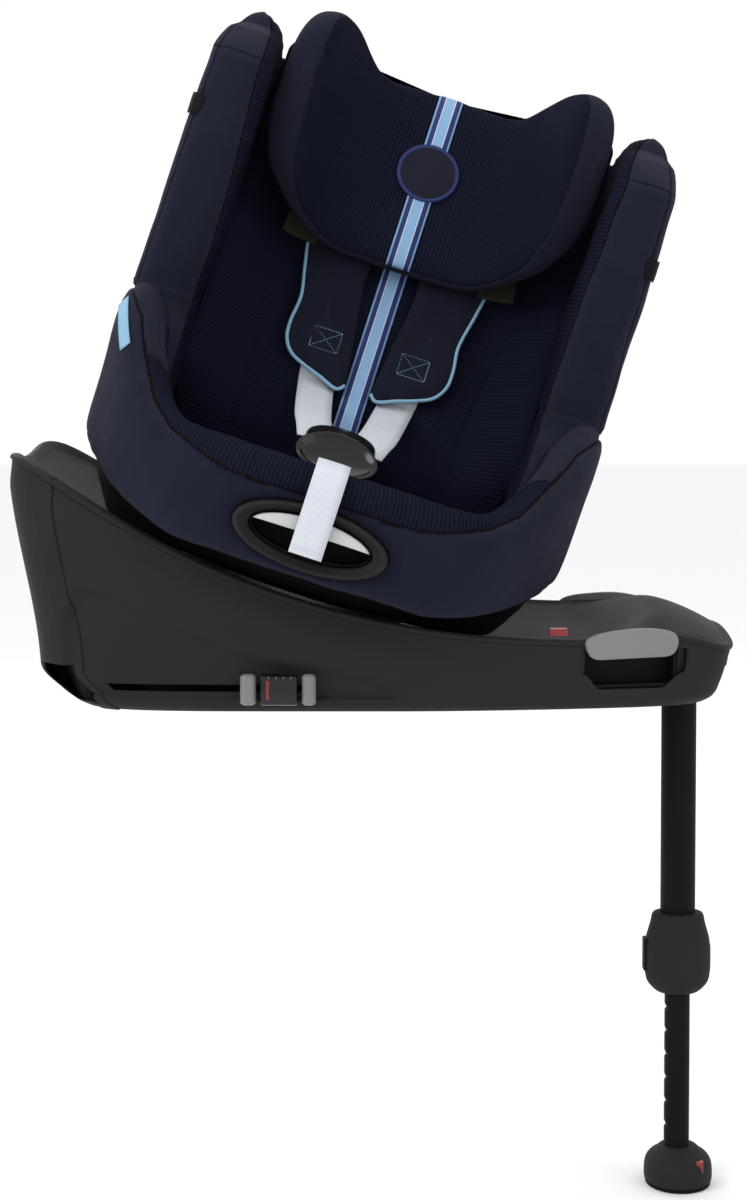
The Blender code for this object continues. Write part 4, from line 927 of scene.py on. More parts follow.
class CARSEAT_OT_hip_cover(bpy.types.Operator):
    """Padded surround: a rolled section carried from hip to hip on the superellipse, higher at the hips"""

    bl_idname = "carseat.hip_cover"
    bl_label = "Hip cover"

    def execute(self, context):
        sizes = context.scene.seat_sizes
        end = math.radians(90.5)
        u = np.linspace(-1, 1, 300)
        angle = end * u
        away = np.abs(angle)
        high = 0.1365 + 0.099 * smooth(math.radians(30), math.radians(86), away)
        low = 0.0465 + 0.052 * smooth(math.radians(20), math.radians(85), away)
        fat = 0.006 * smooth(math.radians(40), math.radians(80), away)
        section = [
            (0.2168, -0.2115, low + 0.0004), (0.2188, -0.2165, low - 0.0012), (0.2222, -0.2240, low + 0.0040),
            (0.2238, -0.2305, mix(low, high, 0.24)), (0.2252, -0.2340, mix(low, high, 0.50)),
            (0.2262, -0.2350, mix(low, high, 0.72)), (0.2248, -0.2338, high - 0.0130), (0.2196, -0.2276, high - 0.0030),
            (0.2100, -0.2170, high + 0.0012), (0.1985, -0.2040, high - 0.0020), (0.1865, -0.1920, high - 0.0110 - fat),
            (0.1785, -0.1850, np.maximum(high - 0.030, 0.1330)), (0.1760, -0.1826, np.maximum(high - 0.055, 0.1302)),
        ]
        control = np.stack([tub_point(angle, hx, fr, z) for hx, fr, z in section])
        visible = spline(control, 118)
        back_face = [tub_point(angle, 0.1765, -0.1835, 0.1294), tub_point(angle, 0.2185, -0.1965, 0.1294),
                     tub_point(angle, 0.2185, -0.2040, low + 0.012)]
        points = np.concatenate([visible, hidden(visible[-1], *back_face, visible[0])[:-1]])
        points = np.swapaxes(points, 0, 1)
        normal = normals(points, False, True)
        x, _, z = np.moveaxis(points, -1, 0)
        slope = (seam_height(x + 0.001) - seam_height(x - 0.001)) / 0.002
        d = (z - seam_height(x)) / np.sqrt(1 + slope**2)
        column = np.arange(points.shape[1])[None]
        outer = column < 96
        seen = (column > 4) & (column < 115)
        groove = hill(d, 0.0, 0.0022) * outer
        puff = smooth(0.002, 0.013, np.abs(d)) * outer
        panel_end = math.radians(56)
        cross = hill(angle[:, None], panel_end, 0.012) + hill(angle[:, None], -panel_end, 0.012)
        inside = d > 0
        cross = cross * inside * (column > 46)
        hem = hill(column, 4.5, 1.8)
        amount = -sizes.seam_depth * groove + 0.0011 * puff - 0.0016 * cross - 0.0008 * hem
        arc = arc_lengths(points, 0, False).mean(1, keepdims=True)
        girth = arc_lengths(points, 1, False)
        wrinkle = ripple(arc, girth, 0.060, 4) + 0.6 * ripple(arc, girth * 0.5, 0.024, 9)
        amount = amount + seen * sizes.wrinkle * wrinkle
        gather = hill(d, 0, 0.018) * np.sin(arc / 0.0125 + 2 * np.sin(arc / 0.05)) * 0.00035
        amount = amount + gather * outer
        points = points + normal * amount[..., None]
        radius = np.hypot(points[..., 0] / 0.0665, (points[..., 2] - 0.079) / 0.0265)
        front = points[..., 1] < -0.19
        tuck = smooth(1.03, 0.92, radius) * front
        pinch = 0.0022 * hill(radius, 1.04, 0.10) * front
        points[..., 1] = mix(points[..., 1], -0.1990, tuck * (column < 115)) + pinch
        shrink = np.sqrt(np.clip(1 - np.clip((np.abs(u) - 0.985) / 0.015, 0, 1) ** 2, 0.02, 1))[:, None, None]
        centre = points.mean(1, keepdims=True)
        points[..., 0:1] = mix(centre[..., 0:1], points[..., 0:1], shrink)
        points[..., 2:3] = mix(centre[..., 2:3], points[..., 2:3], shrink**0.5)
        mesh_zone = (d > 0) & (np.abs(angle[:, None]) < panel_end) | (column > 99)
        # paint 2 is painted shade: a dark line along the rim seam's groove
        paint_of = np.where(outer & (column > 8) & (np.abs(d) < 0.0011), 2, mesh_zone.astype(np.int32))
        piece = make("hip_cover", seat(points), "seat", "navy_fabric", ["navy_knit", "navy_mesh", "painted_seam_shade"],
                     closed_cols=True, caps=True, paint_of=paint_of, replaces=["hip_surround"])
        return {"FINISHED"}


def wing_points(side):
    """Sections of a wing in plan at each height: outer skin, rounded front, inner face; a thin lining below."""
    z = np.concatenate([np.linspace(0.128, 0.2372, 30), np.linspace(0.2384, 0.462, 92),
                        0.458 + 0.052 * np.sin(np.linspace(0, math.pi / 2, 40)[1:])])
    reach = np.clip((z - 0.458) / 0.052, 0, 1)
    round_off = 1 - np.sqrt(np.clip(1 - reach**2, 0, 1))
    half, front, rear = level(SHELL_LEVELS, np.minimum(z, 0.4955))
    half = np.maximum(half, 0.2175 - 0.003 * smooth(0.45, 0.50, z)) + 0.0052
    lining = (z < 0.238) * 1.0
    nose = front - 0.052 + 0.014 * smooth(0.46, 0.50, z)
    nose = mix(nose, nose - 0.002 - 0.034 * smooth(0.236, 0.180, z), lining)
    pad_back = np.minimum(back_line(z) + 0.024, rear - 0.078)
    inner = 0.1662 - 0.0040 * hill(z, 0.34, 0.10) - 0.0048 * smooth(0.24, 0.15, z)
    rows = [
        (half - 0.0004, front + 0.072), (half, front + 0.060), (half + 0.0006, front + 0.024),
        (half + 0.0002, nose + 0.028), (half - 0.0030, nose + 0.0130), (half - 0.0100, nose + 0.0038),
        (half - 0.0200, nose), (mix(inner, half, 0.42), nose - 0.0012), (inner + 0.0140, nose + 0.0012),
        (inner + 0.0060, nose + 0.0085), (inner + 0.0012, nose + 0.0210), (inner, nose + 0.0420),
        (inner - 0.0006, mix(nose, pad_back, 0.62)), (inner, pad_back - 0.010), (inner + 0.001, pad_back),
    ]
    control = np.stack([np.stack(np.broadcast_arrays(x, y, z), -1) for x, y in rows])
    visible = spline(control, 144)
    wall = [(half - 0.0112, pad_back), (half - 0.0112, front - 0.0005), (half - 0.0044, front - 0.0005),
            (half - 0.0044, front + 0.072)]
    wall = [np.stack(np.broadcast_arrays(x, y, z), -1) for x, y in wall]
    points = np.concatenate([visible, hidden(visible[-1], *wall, visible[0])[:-1]])
    points = np.swapaxes(points, 0, 1)
    reach_out = mix(0.1732, half, smooth(0.198, 0.238, z))[:, None]
    reach_out = np.where(points[..., 1] < front[:, None] - 0.004, reach_out, 0.1732)
    slim = np.minimum(points[..., 0], reach_out)
    points[..., 0] = np.where(lining[:, None] > 0, slim, points[..., 0])
    middle = np.stack([mix(inner, half, 0.5), mix(nose, pad_back, 0.55), z], -1)[:, None]
    keep = (1 - round_off)[:, None]
    deep = smooth(0.0, 0.12, points[..., 1] - nose[:, None])
    points[..., 0] = mix(middle[..., 0], points[..., 0], mix(keep, 1, 0.10))
    points[..., 1] = mix(middle[..., 1], points[..., 1], mix(keep, 1, 0.50))
    points[..., 0] -= 0.006 * deep * (1 - keep)
    return points, z[:, None], keep


class CARSEAT_OT_wings(bpy.types.Operator):
    """Padded wings with a seam down the outer edge, a mesh inner face and a rounded top"""

    bl_idname = "carseat.wings"
    bl_label = "Wings"

    def execute(self, context):
        sizes = context.scene.seat_sizes
        for side, name, seed in ((-1, "right", 21), (1, "left", 22)):
            points, z, keep = wing_points(side)
            normal = normals(points, False, True)
            column = np.arange(points.shape[1])[None]
            seen = column < 141
            outer_seam = mix(44.2, 48.0, smooth(0.30, 0.48, z))
            inner_seam = mix(97.5, 87.8, smooth(0.26, 0.47, z)) + 4.5 * smooth(0.30, 0.20, z)
            groove = hill(column, outer_seam, 1.3) + 0.8 * hill(column, inner_seam, 1.3)
            lip = hill(column, inner_seam + 4.8, 1.8) * 0.35
            puff = 0.0012 * hill(column, 69, 18) * seen
            arc = arc_lengths(points, 0, False)[:, :1] + 0 * z
            girth = arc_lengths(points, 1, False)
            wrinkle = ripple(arc, girth, 0.070, seed) + 0.5 * ripple(arc * 0.6, girth, 0.030, seed + 5)
            wrinkle = sizes.wrinkle * wrinkle
            amount = puff - sizes.seam_depth * groove * smooth(0.0, 0.5, keep) + 0.0010 * lip + seen * wrinkle
            points = points + normal * amount[..., None]
            points[..., 0] *= side
            paint_of = ((column > inner_seam) & (column < 148)).astype(np.int32)
            # paint 2 is painted shade: dark lines along the outer and inner seams' grooves
            paint_of[(np.abs(column - outer_seam) < 0.62) | (np.abs(column - inner_seam) < 0.62)] = 2
            piece = make(f"wing_cover_{name}", seat(points), "seat", "navy_fabric",
                         ["navy_knit", "navy_mesh", "painted_seam_shade"], closed_cols=True, caps=True, paint_of=paint_of,
                         replaces=[f"wing_pad_{name}"])
        return {"FINISHED"}


class CARSEAT_OT_cushions(bpy.types.Operator):
    """Seat and back cushions: the seat is a dish with raised edges, the back a panel that curls into the wings"""

    bl_idname = "carseat.cushions"
    bl_label = "Cushions"

    def execute(self, context):
        angle = np.linspace(0, math.tau, 200, endpoint=False)[None]
        r = np.sin(np.linspace(0.03, math.pi / 2, 56))[:, None]
        c, s = np.cos(angle), np.sin(angle)
        px = np.sign(s) * np.abs(s) ** (2 / 2.6)
        py = np.sign(c) * np.abs(c) ** (2 / 2.6)
        reach_y = np.where(py > 0, -0.1800 - TUB_MIDDLE, 0.046 - TUB_MIDDLE)
        x, y = px * r * 0.1720, TUB_MIDDLE + np.abs(py) * r * reach_y
        z = 0.1195 + 0.0135 * smooth(0.70, 1.0, r) * smooth(0.01, -0.04, y) + 0.0005 * ripple(x, y, 0.05, 31)
        lines = hill(np.abs(x), 0.088 + 0.10 * (y + 0.06) ** 2, 0.0022) * (r < 0.93)
        z = z - 0.0018 * lines - 0.0012 * hill(r, 0.945, 0.012)
        top = np.stack([x, y, z], -1)
        rim = top[-1]
        sides = np.stack([mix(rim, rim * (0.992, 0.992, 1), t) - (0, 0, d) for t, d in
                          ((0.5, 0.002), (1, 0.006), (1, 0.020), (1, 0.034))])
        base = sides[-1][None] * np.array([[0.9], [0.5], [0.05]])[..., None] * (1, 1, 0) + (0, 0, 0.0900)
        points = np.concatenate([top, sides, base])
        piece = make("seat_cushion_pad", seat(points), "seat", "navy_mesh", "navy_mesh", closed_cols=True, caps=True,
                     replaces=["seat_cushion"])

        z = np.linspace(0.002, 0.412, 130)[:, None]
        u = np.linspace(-1, 1, 150)[None]
        half = 0.1640 - 0.010 * smooth(0.05, 0.0, z) - 0.012 * smooth(0.385, 0.412, z)
        x = u * half
        away = np.abs(x)
        curl = -0.034 * smooth(0.108, 0.162, away) * smooth(0.0, 0.06, z)
        end = 0.020 * (1 - np.sqrt(np.clip(1 - np.clip((z - 0.395) / 0.0172, 0, 1) ** 2, 0, 1)))
        lines = hill(away, 0.106 + 0.014 * smooth(0.06, 0.20, z), 0.0022) * (z > 0.01)
        channel = sum(hill(z, h, 0.0020) for h in (0.055, 0.110)) * (away < 0.104)
        front = 0.0002 + curl + end + 0.0018 * lines + 0.0014 * channel + 0.0004 * ripple(x, z, 0.05, 37)
        front = front + 0.006 * smooth(0.03, 0.0, z)
        face = np.stack([x, front, z + 0 * x], -1)
        rear = np.stack([x, 0.026 - 0.0005 + curl * 0.75 + 0 * z, z + 0 * x], -1)[:, ::-1]
        left, right = mix(face[:, -1:], rear[:, :1], 0.5), mix(rear[:, -1:], face[:, :1], 0.5)
        points = np.concatenate([face, left, rear, right], 1)
        piece = make("back_cushion_pad", back(points), "seat", "navy_mesh", "navy_mesh", closed_cols=True, caps=True,
                     replaces=["back_cushion"])
        return {"FINISHED"}


# ---------------------------------------------------------------- headrest
# Middle of the headrest in plan, to the tip of an ear
HEAD_LINE = [(0.0, -0.0260), (0.030, -0.0260), (0.058, -0.0285), (0.084, -0.0420), (0.106, -0.0660),
             (0.1245, -0.0930), (0.1365, -0.1130), (0.1430, -0.1240)]


def head_heights(s):
    """Lowest and highest point of the headrest at a share of the way to the ear's tip."""
    low = 0.2035 + 0.0280 * smooth(0.30, 0.95, s)
    high = 0.3915 - 0.0035 * hill(s, 0.26, 0.14) + 0.0180 * smooth(0.34, 0.60, s) - 0.0050 * smooth(0.60, 0.80, s)
    return low, high


def head_surface(u, v):
    """The headrest: a rounded section (v, one turn) carried along the middle line (u from -1 to 1), which swells in
    the ears and closes round at their tips."""
    s = np.abs(u)
    line = spline(np.array(HEAD_LINE), 200)
    run = np.gradient(line, axis=0)
    run /= np.linalg.norm(run, axis=1, keepdims=True)
    t = np.linspace(0, 1, 200)
    x, y = np.interp(s, t, line[:, 0]), np.interp(s, t, line[:, 1])
    nx, ny = np.interp(s, t, run[:, 1]), -np.interp(s, t, run[:, 0])
    low, high = head_heights(s)
    tip = np.clip((s - 0.84) / 0.16, 0, 1)
    close = np.sqrt(np.clip(1 - tip**2, 0.0004, 1))
    thick = (0.0165 + 0.0045 * smooth(0.5, 0.8, s)) * close
    ear = np.clip((s - 0.60) / 0.40, 0, 1)
    tall = (high - low) / 2 * np.sqrt(np.clip(1 - 0.95 * ear**2.2, 0.01, 1))
    c, w = np.cos(v), np.sin(v)
    across = np.sign(c) * np.abs(c) ** 0.72 * thick
    up = np.sign(w) * np.abs(w) ** 0.62 * tall + (high + low) / 2
    side = np.where(u < 0, -1, 1)
    lean = -0.012 * smooth(0.5, 1.0, s) * (up - 0.30) / 0.08
    return np.stack([side * (x + nx * across), y + ny * across + lean, up], -1)


def head_front(x, z):
    """Depth of the headrest's front near its middle."""
    s = np.abs(x) / 0.1455
    low, high = head_heights(s)
    w = np.clip((z - (low + high) / 2) / ((high - low) / 2), -1, 1)
    return -0.0260 - 0.0165 * (1 - np.abs(w) ** (2 / 0.62)) ** 0.36


class CARSEAT_OT_headrest(bpy.types.Operator):
    """Headrest with two ears, a mesh face between plain edge bands, the centre ribbon and a plain round patch"""

    bl_idname = "carseat.headrest"
    bl_label = "Headrest"

    def execute(self, context):
        sizes = context.scene.seat_sizes
        u = np.linspace(-1, 1, 300)[:, None]
        v = np.linspace(0, math.tau, 132, endpoint=False)[None]
        points = head_surface(u, v)
        normal = normals(points, False, True)
        arc = arc_lengths(points, 0, False).mean(1, keepdims=True)
        girth = arc_lengths(points, 1, False)
        s = np.abs(u)
        turned_v = np.where(v > math.pi, v - math.tau, v)
        border = mix(1.34, 0.95, smooth(0.55, 0.90, s))
        border = border * np.sqrt(np.clip(1 - (np.clip(s - 0.80, 0, 1) / 0.135) ** 2, 0, 1))
        d = np.abs(turned_v) - border
        mesh_zone = (d < 0) & (s < 0.935)
        seam = hill(d, 0, 0.035) * (s < 0.95)
        fold = hill(s, 0.52, 0.030) * (np.abs(turned_v) < 1.2) * 0.0008
        amount = -0.0015 * seam + sizes.wrinkle * 0.8 * ripple(arc, girth, 0.055, 41) - fold
        amount = amount + 0.0012 * hill(s, 0.75, 0.12) * (np.abs(turned_v) < 1.2)
        points = points + normal * amount[..., None]
        piece = make("headrest_pad", back(points), "headrest", "navy_mesh", ["navy_knit", "navy_mesh"],
                     closed_cols=True, caps=True, paint_of=mesh_zone.astype(np.int32), replaces=["headrest_cushion"])

        z = np.linspace(0.2042, 0.3874, 90)
        path = np.stack([0 * z, head_front(0 * z, z) - 0.0014, z], -1)
        over = np.array([(0, -0.0240, 0.3898), (0, -0.0160, 0.3880), (0, -0.0108, 0.3840)])
        centre_ribbon("centre_ribbon_head", back(np.concatenate([path, over])), "headrest")
        t = np.linspace(0, math.tau, 96, endpoint=False)[None]
        r = np.array([0.02, 0.3, 0.6, 0.8, 0.88, 0.93, 0.96, 1.0, 1.0, 0.9])[:, None] * 0.0300
        lift = np.array([0.0030, 0.0030, 0.0029, 0.0027, 0.0025, 0.0036, 0.0036, 0.0022, 0.0006, 0.0004])[:, None]
        x, z = r * np.cos(t), 0.3010 + r * np.sin(t)
        points = np.stack([x, head_front(x, z) - lift, z], -1)
        paint_of = np.repeat((np.arange(10) >= 4)[:, None] & (np.arange(10) <= 6)[:, None], 96, 1).astype(np.int32)
        make("round_patch", back(points), "headrest", "navy_fabric", ["patch_felt", "ribbon_navy"], closed_cols=True,
             caps=True, paint_of=paint_of)
        outline = rounded([(-0.030, 0.3795), (0.030, 0.3795), (0.027, 0.3890), (-0.027, 0.3890)], 0.003)
        domed("headrest_lever_grip", outline, [(0.9, -0.0036), (1, -0.0042), (1, -0.0084), (0.96, -0.0090),
                                               (0.85, -0.0092)], back, "headrest_release", "grey_plastic",
              "charcoal_satin", replaces=["headrest_lever"])
        return {"FINISHED"}


# ---------------------------------------------------------------- harness
def centre_ribbon(name, path, body):
    """The striped ribbon along a path, with each vertex's distance from the middle line kept as an attribute."""
    half = bpy.context.scene.seat_sizes.ribbon_width / 2
    path = spline(path, 160) if len(path) < 60 else path
    piece = ribbon(name, path, half, 0.0013, SEAT_ACROSS, body, "white_webbing", "blue_ribbon")
    w = np.array([-1, -0.5, 0, 0.5, 1, 1, 0.5, 0, -0.5, -1]) * half
    offset = np.zeros(len(piece.data.vertices), np.float32)
    offset[: len(path) * 10] = np.tile(w, len(path))
    piece.data.attributes.new("offset", "FLOAT", "POINT").data.foreach_set("value", offset)
    return piece


PAD_OUTLINE = [(0.030, 0.2330), (0.090, 0.2330), (0.0890, 0.2160), (0.0840, 0.1880), (0.0780, 0.1560),
               (0.0800, 0.1300), (0.0785, 0.1120), (0.0700, 0.0985), (0.0560, 0.0910), (0.0380, 0.0845),
               (0.0200, 0.0775), (0.0125, 0.0830), (0.0165, 0.1200), (0.0240, 0.1800)]


class CARSEAT_OT_harness(bpy.types.Operator):
    """Shoulder pads with piping and box stitches, straps, centre ribbon, buckle dish and adjuster strap"""

    bl_idname = "carseat.harness"
    bl_label = "Harness"

    def execute(self, context):
        fine = spline(np.array(PAD_OUTLINE), 150, closed=True)
        middle = np.array([0.050, 0.150])
        for side, name, seed in ((-1, "right", 51), (1, "left", 52)):
            scale, depth = np.array([(0.05, -0.0052), (0.6, -0.0052), (0.96, -0.0054), (1.0, -0.0070), (1.0, -0.0090),
                                     (0.985, -0.0106), (0.955, -0.0118), (0.90, -0.0130), (0.80, -0.0139),
                                     (0.65, -0.0145), (0.5, -0.0147), (0.35, -0.0148), (0.2, -0.0148),
                                     (0.05, -0.0148)]).T[:, :, None]
            x, z = (middle[k] + (fine[None, :, k] - middle[k]) * scale for k in (0, 1))
            front = smooth(-0.0095, -0.0115, depth)
            depth = depth + front * 0.0006 * ripple(x, z, 0.03, seed)
            points = back(np.stack([side * x, depth + 0 * x, z], -1))
            piece = make(f"shoulder_pad_{name}_cover", points, "seat", "navy_fabric", "pad_knit", closed_cols=True,
                         caps=True, replaces=[f"shoulder_pad_{name}"])
            edge = spline(np.array(PAD_OUTLINE)[1:12], 140)
            path = np.stack([side * (middle[0] + (edge[:, 0] - middle[0]) * 0.995), 0 * edge[:, 0] - 0.0112,
                             middle[1] + (edge[:, 1] - middle[1]) * 0.995], -1)
            rope(f"pad_piping_{name}", back(path), 0.0017, "seat", "navy_fabric", "blue_cord")
            box = np.array([(-1, 1), (1, 1), (1, -1), (-1, -1), (-1, 1), (1, -1), (1, 1), (-1, -1)])
            box = box * (side * 0.0135, 0.0105) + (side * 0.0430, 0.1200)
            path = back(np.stack([box[:, 0], 0 * box[:, 0] - 0.0151, box[:, 1]], -1))
            stitches(f"box_stitch_{name}", path, 0.0026, "seat", "blue_cord", 0.00045)
            lower = (seat_from_back([(0.0385, -0.0036, 0.078), (0.0420, -0.0036, 0.105), (0.056, -0.0030, 0.215)])
                     * (side, 1, 1))
            start = np.array([(0.0225, -0.0720, 0.1520), (0.0270, -0.0480, 0.1610), (0.0320, -0.0220, 0.1700)])
            start = start * (side, 1, 1)
            path = spline(np.concatenate([start, lower]), 90)
            ribbon(f"shoulder_strap_{name}_web", seat(path), 0.0172, 0.0018, SEAT_ACROSS, "seat", "white_webbing",
                   "white_web", replaces=[f"shoulder_strap_{name}"])
            loop = np.array([(0.080, -0.0150, 0.2190), (0.092, -0.0150, 0.2195), (0.104, -0.0160, 0.2205),
                             (0.114, -0.0200, 0.2215)]) * (side, 1, 1)
            ribbon(f"strap_loop_{name}", back(spline(loop, 30)), 0.0105, 0.0018, BACK_UP, "seat", "black_webbing",
                   "olive_web")
        lower = seat_from_back([(0, -0.0012, 0.250), (0, -0.0014, 0.200), (0, -0.0014, 0.140), (0, -0.0022, 0.090),
                                (0, -0.0080, 0.055)])
        path = np.concatenate([lower, [(0, -0.020, 0.1600), (0, -0.050, 0.1560), (0, -0.078, 0.1600)]])
        centre_ribbon("centre_ribbon_back", seat(spline(path, 160)), "seat")
        path = spline(np.array([(0, -0.1300, 0.1330), (0, -0.1480, 0.1345), (0, -0.1680, 0.1400), (0, -0.1900, 0.1432),
                                (0, -0.2120, 0.1440), (0, -0.2280, 0.1425), (0, -0.2420, 0.1370), (0, -0.2482, 0.1240),
                                (0, -0.2488, 0.1080), (0, -0.2486, 0.0880), (0, -0.2484, 0.0655)]), 110)
        ribbon("adjuster_web", seat(path), 0.0142, 0.0017, SEAT_ACROSS, "seat", "white_webbing", "white_web",
               replaces=["adjuster_strap"])
        for k, z in enumerate((0.0695, 0.0720)):
            row = np.array([(-0.0128, -0.2498, z), (0.0128, -0.2498, z)])
            stitches(f"adjuster_stitch_{k}", seat(row), 0.0022, "seat", "white_web", 0.0004)
        path = np.array([(0, -0.1400, 0.1180), (0, -0.1345, 0.1240), (0, -0.1270, 0.1290), (0, -0.1180, 0.1330)])
        path = spline(path, 24)
        ribbon("crotch_web", seat(path), 0.0150, 0.0018, SEAT_ACROSS, "seat", "black_webbing", "black_web",
               replaces=["crotch_strap"])
        self.buckle()
        self.tags()
        return {"FINISHED"}

    def buckle(self):
        """A flattened body of ellipses, and a glossy dish in front of it: an oval whose face is hollow."""
        along, up = np.array([0, 0.9511, 0.3090]), np.array([0, -0.3090, 0.9511])
        foot = np.array([0, -0.1160, 0.1400])
        a = np.arange(64) * math.tau / 64
        ovals = np.array([(0.0010, 0.016, 0.007), (0.0, 0.019, 0.0095), (0.003, 0.0235, 0.012),
                          (0.010, 0.0275, 0.0135), (0.026, 0.0310, 0.0145), (0.040, 0.0325, 0.0150),
                          (0.048, 0.0315, 0.0140), (0.052, 0.0280, 0.0110), (0.0525, 0.022, 0.007)])
        z, rx, ry = spline(ovals, 44).T[:, :, None]
        flat = np.sign(np.sin(a)) * np.abs(np.sin(a)) ** 0.8
        points = foot + rx[..., None] * np.cos(a)[:, None] * (1, 0, 0) + (ry * flat)[..., None] * up
        points = points + z[..., None] * along
        z_mid, a_mid = (z + np.roll(z, -1, 0)) / 2, a + math.pi / 64
        pocket = (z_mid > 0.0055) & (z_mid < 0.0246) & (np.sin(a_mid) > 0) & (np.abs(rx * np.cos(a_mid)) < 0.0165)
        make("buckle_body", seat(points), "seat", "black_plastic", "black_gloss", closed_cols=True, caps=True,
             paint_of=np.where(pocket, -1, 0).astype(np.int32), replaces=["buckle_housing"])
        face = np.array([0, -0.78, 0.62])
        rise = np.array([0, 0.62, 0.78])
        centre = np.array([0, -0.1275, 0.1440])
        a = np.arange(96) * math.tau / 96
        r, lift = np.array([(0.03, -0.0040), (0.5, -0.0042), (0.85, -0.0036), (0.97, -0.0012), (1.0, 0.0014),
                            (0.985, 0.0034), (0.945, 0.0042), (0.90, 0.0036), (0.84, 0.0018), (0.70, -0.0002),
                            (0.50, -0.0014), (0.30, -0.0020), (0.12, -0.0022), (0.03, -0.0022)]).T[:, :, None]
        wide, tall = np.cos(a) * 0.0375, np.sin(a) * 0.0225
        brow = 1 + 0.10 * np.clip(np.sin(a), 0, 1) * (1 - np.cos(a) ** 2)
        points = centre + (r * wide)[..., None] * (1, 0, 0) + (r * tall * brow)[..., None] * rise
        points = points + lift[..., None] * face
        make("buckle_dish", seat(points), "seat", "black_plastic", "black_gloss", closed_cols=True, caps=True)

    def tags(self):
        """Blank woven tags on the wings' outer seams and on the left hip's shoulder."""
        for side, z, name in ((-1, 0.404, "right"), (1, 0.388, "left")):
            half = max(np.interp(z, SHELL_LEVELS[:, 0], SHELL_LEVELS[:, 1]), 0.2175) + 0.0065
            front = np.interp(z, SHELL_LEVELS[:, 0], SHELL_LEVELS[:, 2]) - 0.040
            path = np.array([(half - 0.0110, front - 0.0106, z), (half - 0.0040, front - 0.0070, z),
                             (half - 0.0002, front + 0.0030, z), (half + 0.0002, front + 0.0150, z)]) * (side, 1, 1)
            ribbon(f"wing_tag_{name}", seat(spline(path, 20)), 0.0095, 0.0012, SEAT_UP, "seat", "black_webbing",
                   "black_web")
        turn = np.linspace(76, 60, 24)
        top = 0.1365 + 0.099 * smooth(30, 86, turn)
        path = tub_point(-np.radians(turn), 0.2262, -0.2350, top - 0.0110)
        run = path[-1] - path[0]
        across = np.cross(run, [-0.866, -0.286, 0.410])
        ribbon("hip_tag", seat(path), 0.0062, 0.0012, SEAT_TURN @ (across / np.linalg.norm(across)), "seat",
               "white_webbing", "blue_cord")


class CARSEAT_OT_recline_handle(bpy.types.Operator):
    """Recline handle: an oval bezel with a hollow face, and the pale lever in its upper half"""

    bl_idname = "carseat.recline_handle"
    bl_label = "Recline handle"

    def execute(self, context):
        outer, inner = np.array([0.0672, 0.0272]), np.array([0.0537, 0.0187])
        a = np.arange(120) * math.tau / 120
        t, y = spline(np.array([(0.02, -0.2015), (0.0, -0.2200), (0.0, -0.2375), (0.05, -0.2415), (0.15, -0.2440),
                                (0.27, -0.2450), (0.42, -0.2436), (0.60, -0.2408), (0.78, -0.2384), (0.93, -0.2366),
                                (1.0, -0.2335), (1.0, -0.2200), (0.98, -0.2015)]), 60).T[:, :, None]
        half = mix(outer, inner, t[..., None])
        points = np.stack([half[..., 0] * np.cos(a), y + 0 * a, 0.079 + half[..., 1] * np.sin(a)], -1)
        make("handle_bezel_ring", seat(points), "seat", "charcoal_plastic", "charcoal_satin", closed_rows=True,
             closed_cols=True, replaces=["handle_bezel"])
        arc = np.radians(np.linspace(13, 167, 60))
        top = np.stack([0.0520 * np.cos(arc), 0.079 + 0.0172 * np.sin(arc)], -1)
        chord_x = np.linspace(top[-1, 0], top[0, 0], 42)[1:-1]
        chord = np.stack([chord_x, top[0, 1] + 0.0004 * (1 - (chord_x / 0.052) ** 2)], -1)
        outline = np.concatenate([top, chord])
        layers = [(0.9, -0.2330), (0.985, -0.2334), (1.0, -0.2350), (1.0, -0.2398), (0.985, -0.2412), (0.95, -0.2419),
                  (0.6, -0.2420), (0.2, -0.2420)]
        domed("recline_lever_blade", outline, layers, seat, "recline_handle", "pale_plastic", "pale_plastic",
              replaces=["recline_lever"])
        return {"FINISHED"}


def seat_from_back(points):
    """Points of the backrest's frame in the seat's frame."""
    return (back(points) - AXIS_FOOT) @ SEAT_TURN


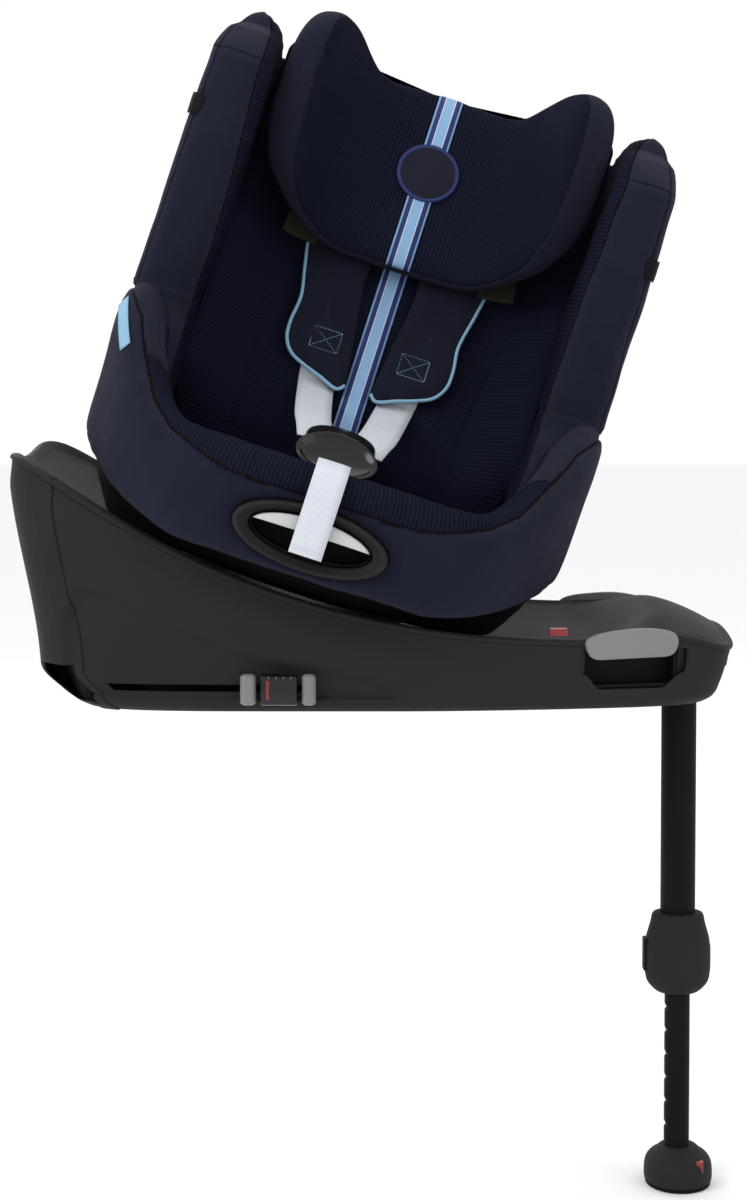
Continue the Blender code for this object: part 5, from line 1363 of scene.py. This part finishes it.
# ---------------------------------------------------------------- stage
class CARSEAT_OT_stage(bpy.types.Operator):
    """Floor, soft studio lights and the camera, level with the seat and looking slightly down"""

    bl_idname = "carseat.stage"
    bl_label = "Studio"

    def execute(self, context):
        scene = context.scene
        mesh = bpy.data.meshes.new("studio_floor")
        size = 12.0
        mesh.from_pydata([(-size, -size, FLOOR), (size, -size, FLOOR), (size, size, FLOOR), (-size, size, FLOOR)], [],
                         [(0, 1, 2, 3)])
        floor = bpy.data.objects.new("studio_floor", mesh)
        scene.collection.objects.link(floor)
        paint = bpy.data.materials.new("studio_floor")
        paint.use_nodes = True
        paint.node_tree.nodes["Principled BSDF"].inputs["Base Color"].default_value = (0.92, 0.92, 0.93, 1)
        paint.node_tree.nodes["Principled BSDF"].inputs["Roughness"].default_value = 0.9
        mesh.materials.append(paint)
        world = bpy.data.worlds.new("studio")
        scene.world = world
        world.use_nodes = True
        world.node_tree.nodes["Background"].inputs["Color"].default_value = (1.0, 1.0, 1.0, 1)
        world.node_tree.nodes["Background"].inputs["Strength"].default_value = 1.0
        scene.view_settings.view_transform = "Standard"
        target = np.array([0.0, 0.0, 0.15])
        for name, place, size, power in (
            ("key", (-1.8, -1.6, 2.0), 1.4, 34),
            ("fill", (2.4, -1.6, 0.9), 1.8, 8),
            ("top", (0.2, 0.6, 2.8), 2.0, 16),
            ("back", (-1.2, 2.4, 1.6), 1.6, 14),
        ):
            lamp = bpy.data.lights.new(name, "AREA")
            lamp.energy, lamp.size = power, size
            light = bpy.data.objects.new(name, lamp)
            aim = target - place
            light.rotation_euler = Vector(aim).to_track_quat("-Z", "Y").to_euler()
            light.location = place
            scene.collection.objects.link(light)
        lens = bpy.data.cameras.new("camera")
        lens.lens, lens.sensor_width = 77.64, 36.0
        lens.shift_y = -0.1196
        lens.clip_end = 100
        camera = bpy.data.objects.new("camera", lens)
        camera.location = (0, -2.37, 0.335)
        camera.rotation_euler = (math.radians(87.0), 0, 0)
        scene.collection.objects.link(camera)
        scene.camera = camera
        return {"FINISHED"}


# ---------------------------------------------------------------- add-on
OPERATORS = (
    CARSEAT_OT_stage,
    CARSEAT_OT_base_side,
    CARSEAT_OT_base_cover,
    CARSEAT_OT_base_details,
    CARSEAT_OT_leg,
    CARSEAT_OT_shell,
    CARSEAT_OT_hip_cover,
    CARSEAT_OT_wings,
    CARSEAT_OT_cushions,
    CARSEAT_OT_headrest,
    CARSEAT_OT_harness,
    CARSEAT_OT_recline_handle,
)


class CARSEAT_PT_panel(bpy.types.Panel):
    """Buttons that build the seat's pieces, in order."""

    bl_label = "Swivel car seat"
    bl_idname = "CARSEAT_PT_panel"
    bl_space_type = "VIEW_3D"
    bl_region_type = "UI"
    bl_category = "Car Seat"

    def draw(self, context):
        for operator in OPERATORS:
            self.layout.operator(operator.bl_idname)


CLASSES = (SeatColours, SeatSizes, *OPERATORS, CARSEAT_PT_panel)


def register():
    """Classes first, then the two groups of settings on the scene."""
    for cls in CLASSES:
        bpy.utils.register_class(cls)
    bpy.types.Scene.seat_colours = bpy.props.PointerProperty(type=SeatColours)
    bpy.types.Scene.seat_sizes = bpy.props.PointerProperty(type=SeatSizes)


def unregister():
    """register in reverse."""
    del bpy.types.Scene.seat_sizes
    del bpy.types.Scene.seat_colours
    for cls in reversed(CLASSES):
        bpy.utils.unregister_class(cls)


def main():
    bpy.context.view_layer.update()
    register()
    build_groups()
    for operator in OPERATORS:
        group, name = operator.bl_idname.split(".")
        getattr(getattr(bpy.ops, group), name)()


if __name__ == "__main__":
    main()
